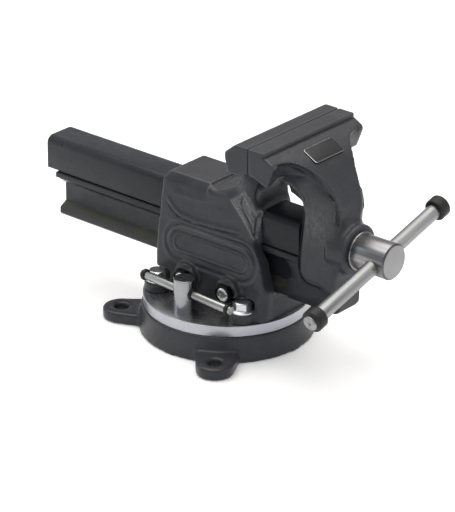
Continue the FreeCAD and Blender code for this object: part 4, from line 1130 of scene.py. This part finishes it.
# ---------------- the nameplate
# A blank aluminium plate, anodised black, with a thin polished border. It is glued to
# the jaw's front.
plate = edged("nameplate", "plate", 0.42 * mm)
plate_black = rubber("plate_black", (0.012, 0.012, 0.013), 0.42)
plate_rim = turned("plate_rim", (0.42, 0.42, 0.43), "X", 0.25, 0.8 * mm, 0.002 * mm, 0.05)
fit(plate, "front_jaw", plate_black, "nameplate")
plate.data.materials.append(plate_rim)
plate_face = max(plate.data.polygons, key=lambda face: face.area).normal.copy()
for face in plate.data.polygons:
    face.material_index = 1 if 0.15 < abs(face.normal.dot(plate_face)) < 0.98 else 0

# ---------------- the spindle
# A turned steel spindle whose screw runs in the nut inside the slide. Its head stands
# in front of the boss on a thrust washer, and a collar with a pin keeps it in the jaw.
head_chamfer = 185.4 * mm
spindle_steel = drawn("spindle_steel", (0.235, 0.235, 0.240), (1, 0, 0), 0.33, 1.1 * mm, 0.003 * mm, 0.26)
spindle_face = turned("spindle_face", (0.26, 0.262, 0.272), "X", 0.34, 0.6 * mm, 0.003 * mm, 0.08)
# The chamfer round the head's end face is painted darker steel: a painted shade line.
chamfer_shade_steel = turned("chamfer_shade_steel", (0.12, 0.12, 0.124), "X", 0.42)
spindle = edged("spindle", "spindle_finished", 0.8 * mm)
fit(spindle, "spindle", spindle_steel, "spindle")
spindle.data.materials.append(spindle_face)
spindle.data.materials.append(chamfer_shade_steel)
for face in spindle.data.polygons:
    if face.center.x > head_chamfer:
        face.material_index = 1 if face.normal.x > 0.97 else 2
for node, material in (("thrust_washer", spindle_steel), ("retaining_collar", bolt_black),
                       ("collar_pin", spindle_steel)):
    fit(edged(node, node + "_finished", 0.5 * mm), "spindle", material, node)

# ---------------- the handle
# A round steel bar slides through the spindle's head, with a black ring pressed on
# near each end and a small centre drilled into the end faces.
handle_tilt = math.radians(15)
handle_way = Vector((0, math.cos(handle_tilt), math.sin(handle_tilt)))
handle_centre = Vector((173.6, 0, spindle_axis)) * mm
handle_middle = handle_centre - handle_way * 6.5 * mm
handle_radius = 6.8 * mm
handle_half = 95.5 * mm
handle_ring_length = 12.0 * mm
handle_past_ring = 2.0 * mm
handle_steel = drawn("handle_steel", (0.288, 0.290, 0.295), handle_way, 0.42, 1.1 * mm, 0.003 * mm, 0.16)
drilled = [(0, 1.4 * mm), (0.4 * mm, 1.4 * mm), (1.8 * mm, 0)]
handle = lathe(
    "handle_rod",
    [(radius, -handle_half + depth) for radius, depth in drilled]
    + rounded_end(handle_radius, -handle_half, 1.0 * mm, -1)
    + rounded_end(handle_radius, handle_half, 1.0 * mm, 1)
    + [(radius, handle_half - depth) for radius, depth in drilled[::-1]],
    handle_middle, handle_way, 72,
)
fit(crisp(handle), "handle", handle_steel, "handle_bar")
for side, name in ((-1, "near"), (1, "far")):
    start = handle_middle + handle_way * side * (handle_half - handle_past_ring - handle_ring_length)
    ring = band(
        "handle_ring_" + name + "_finished", 10.2 * mm, 6.82 * mm, handle_ring_length,
        start, handle_way * side, 2.2 * mm,
    )
    fit(crisp(ring), "handle", black_rubber, "handle_ring_" + name)
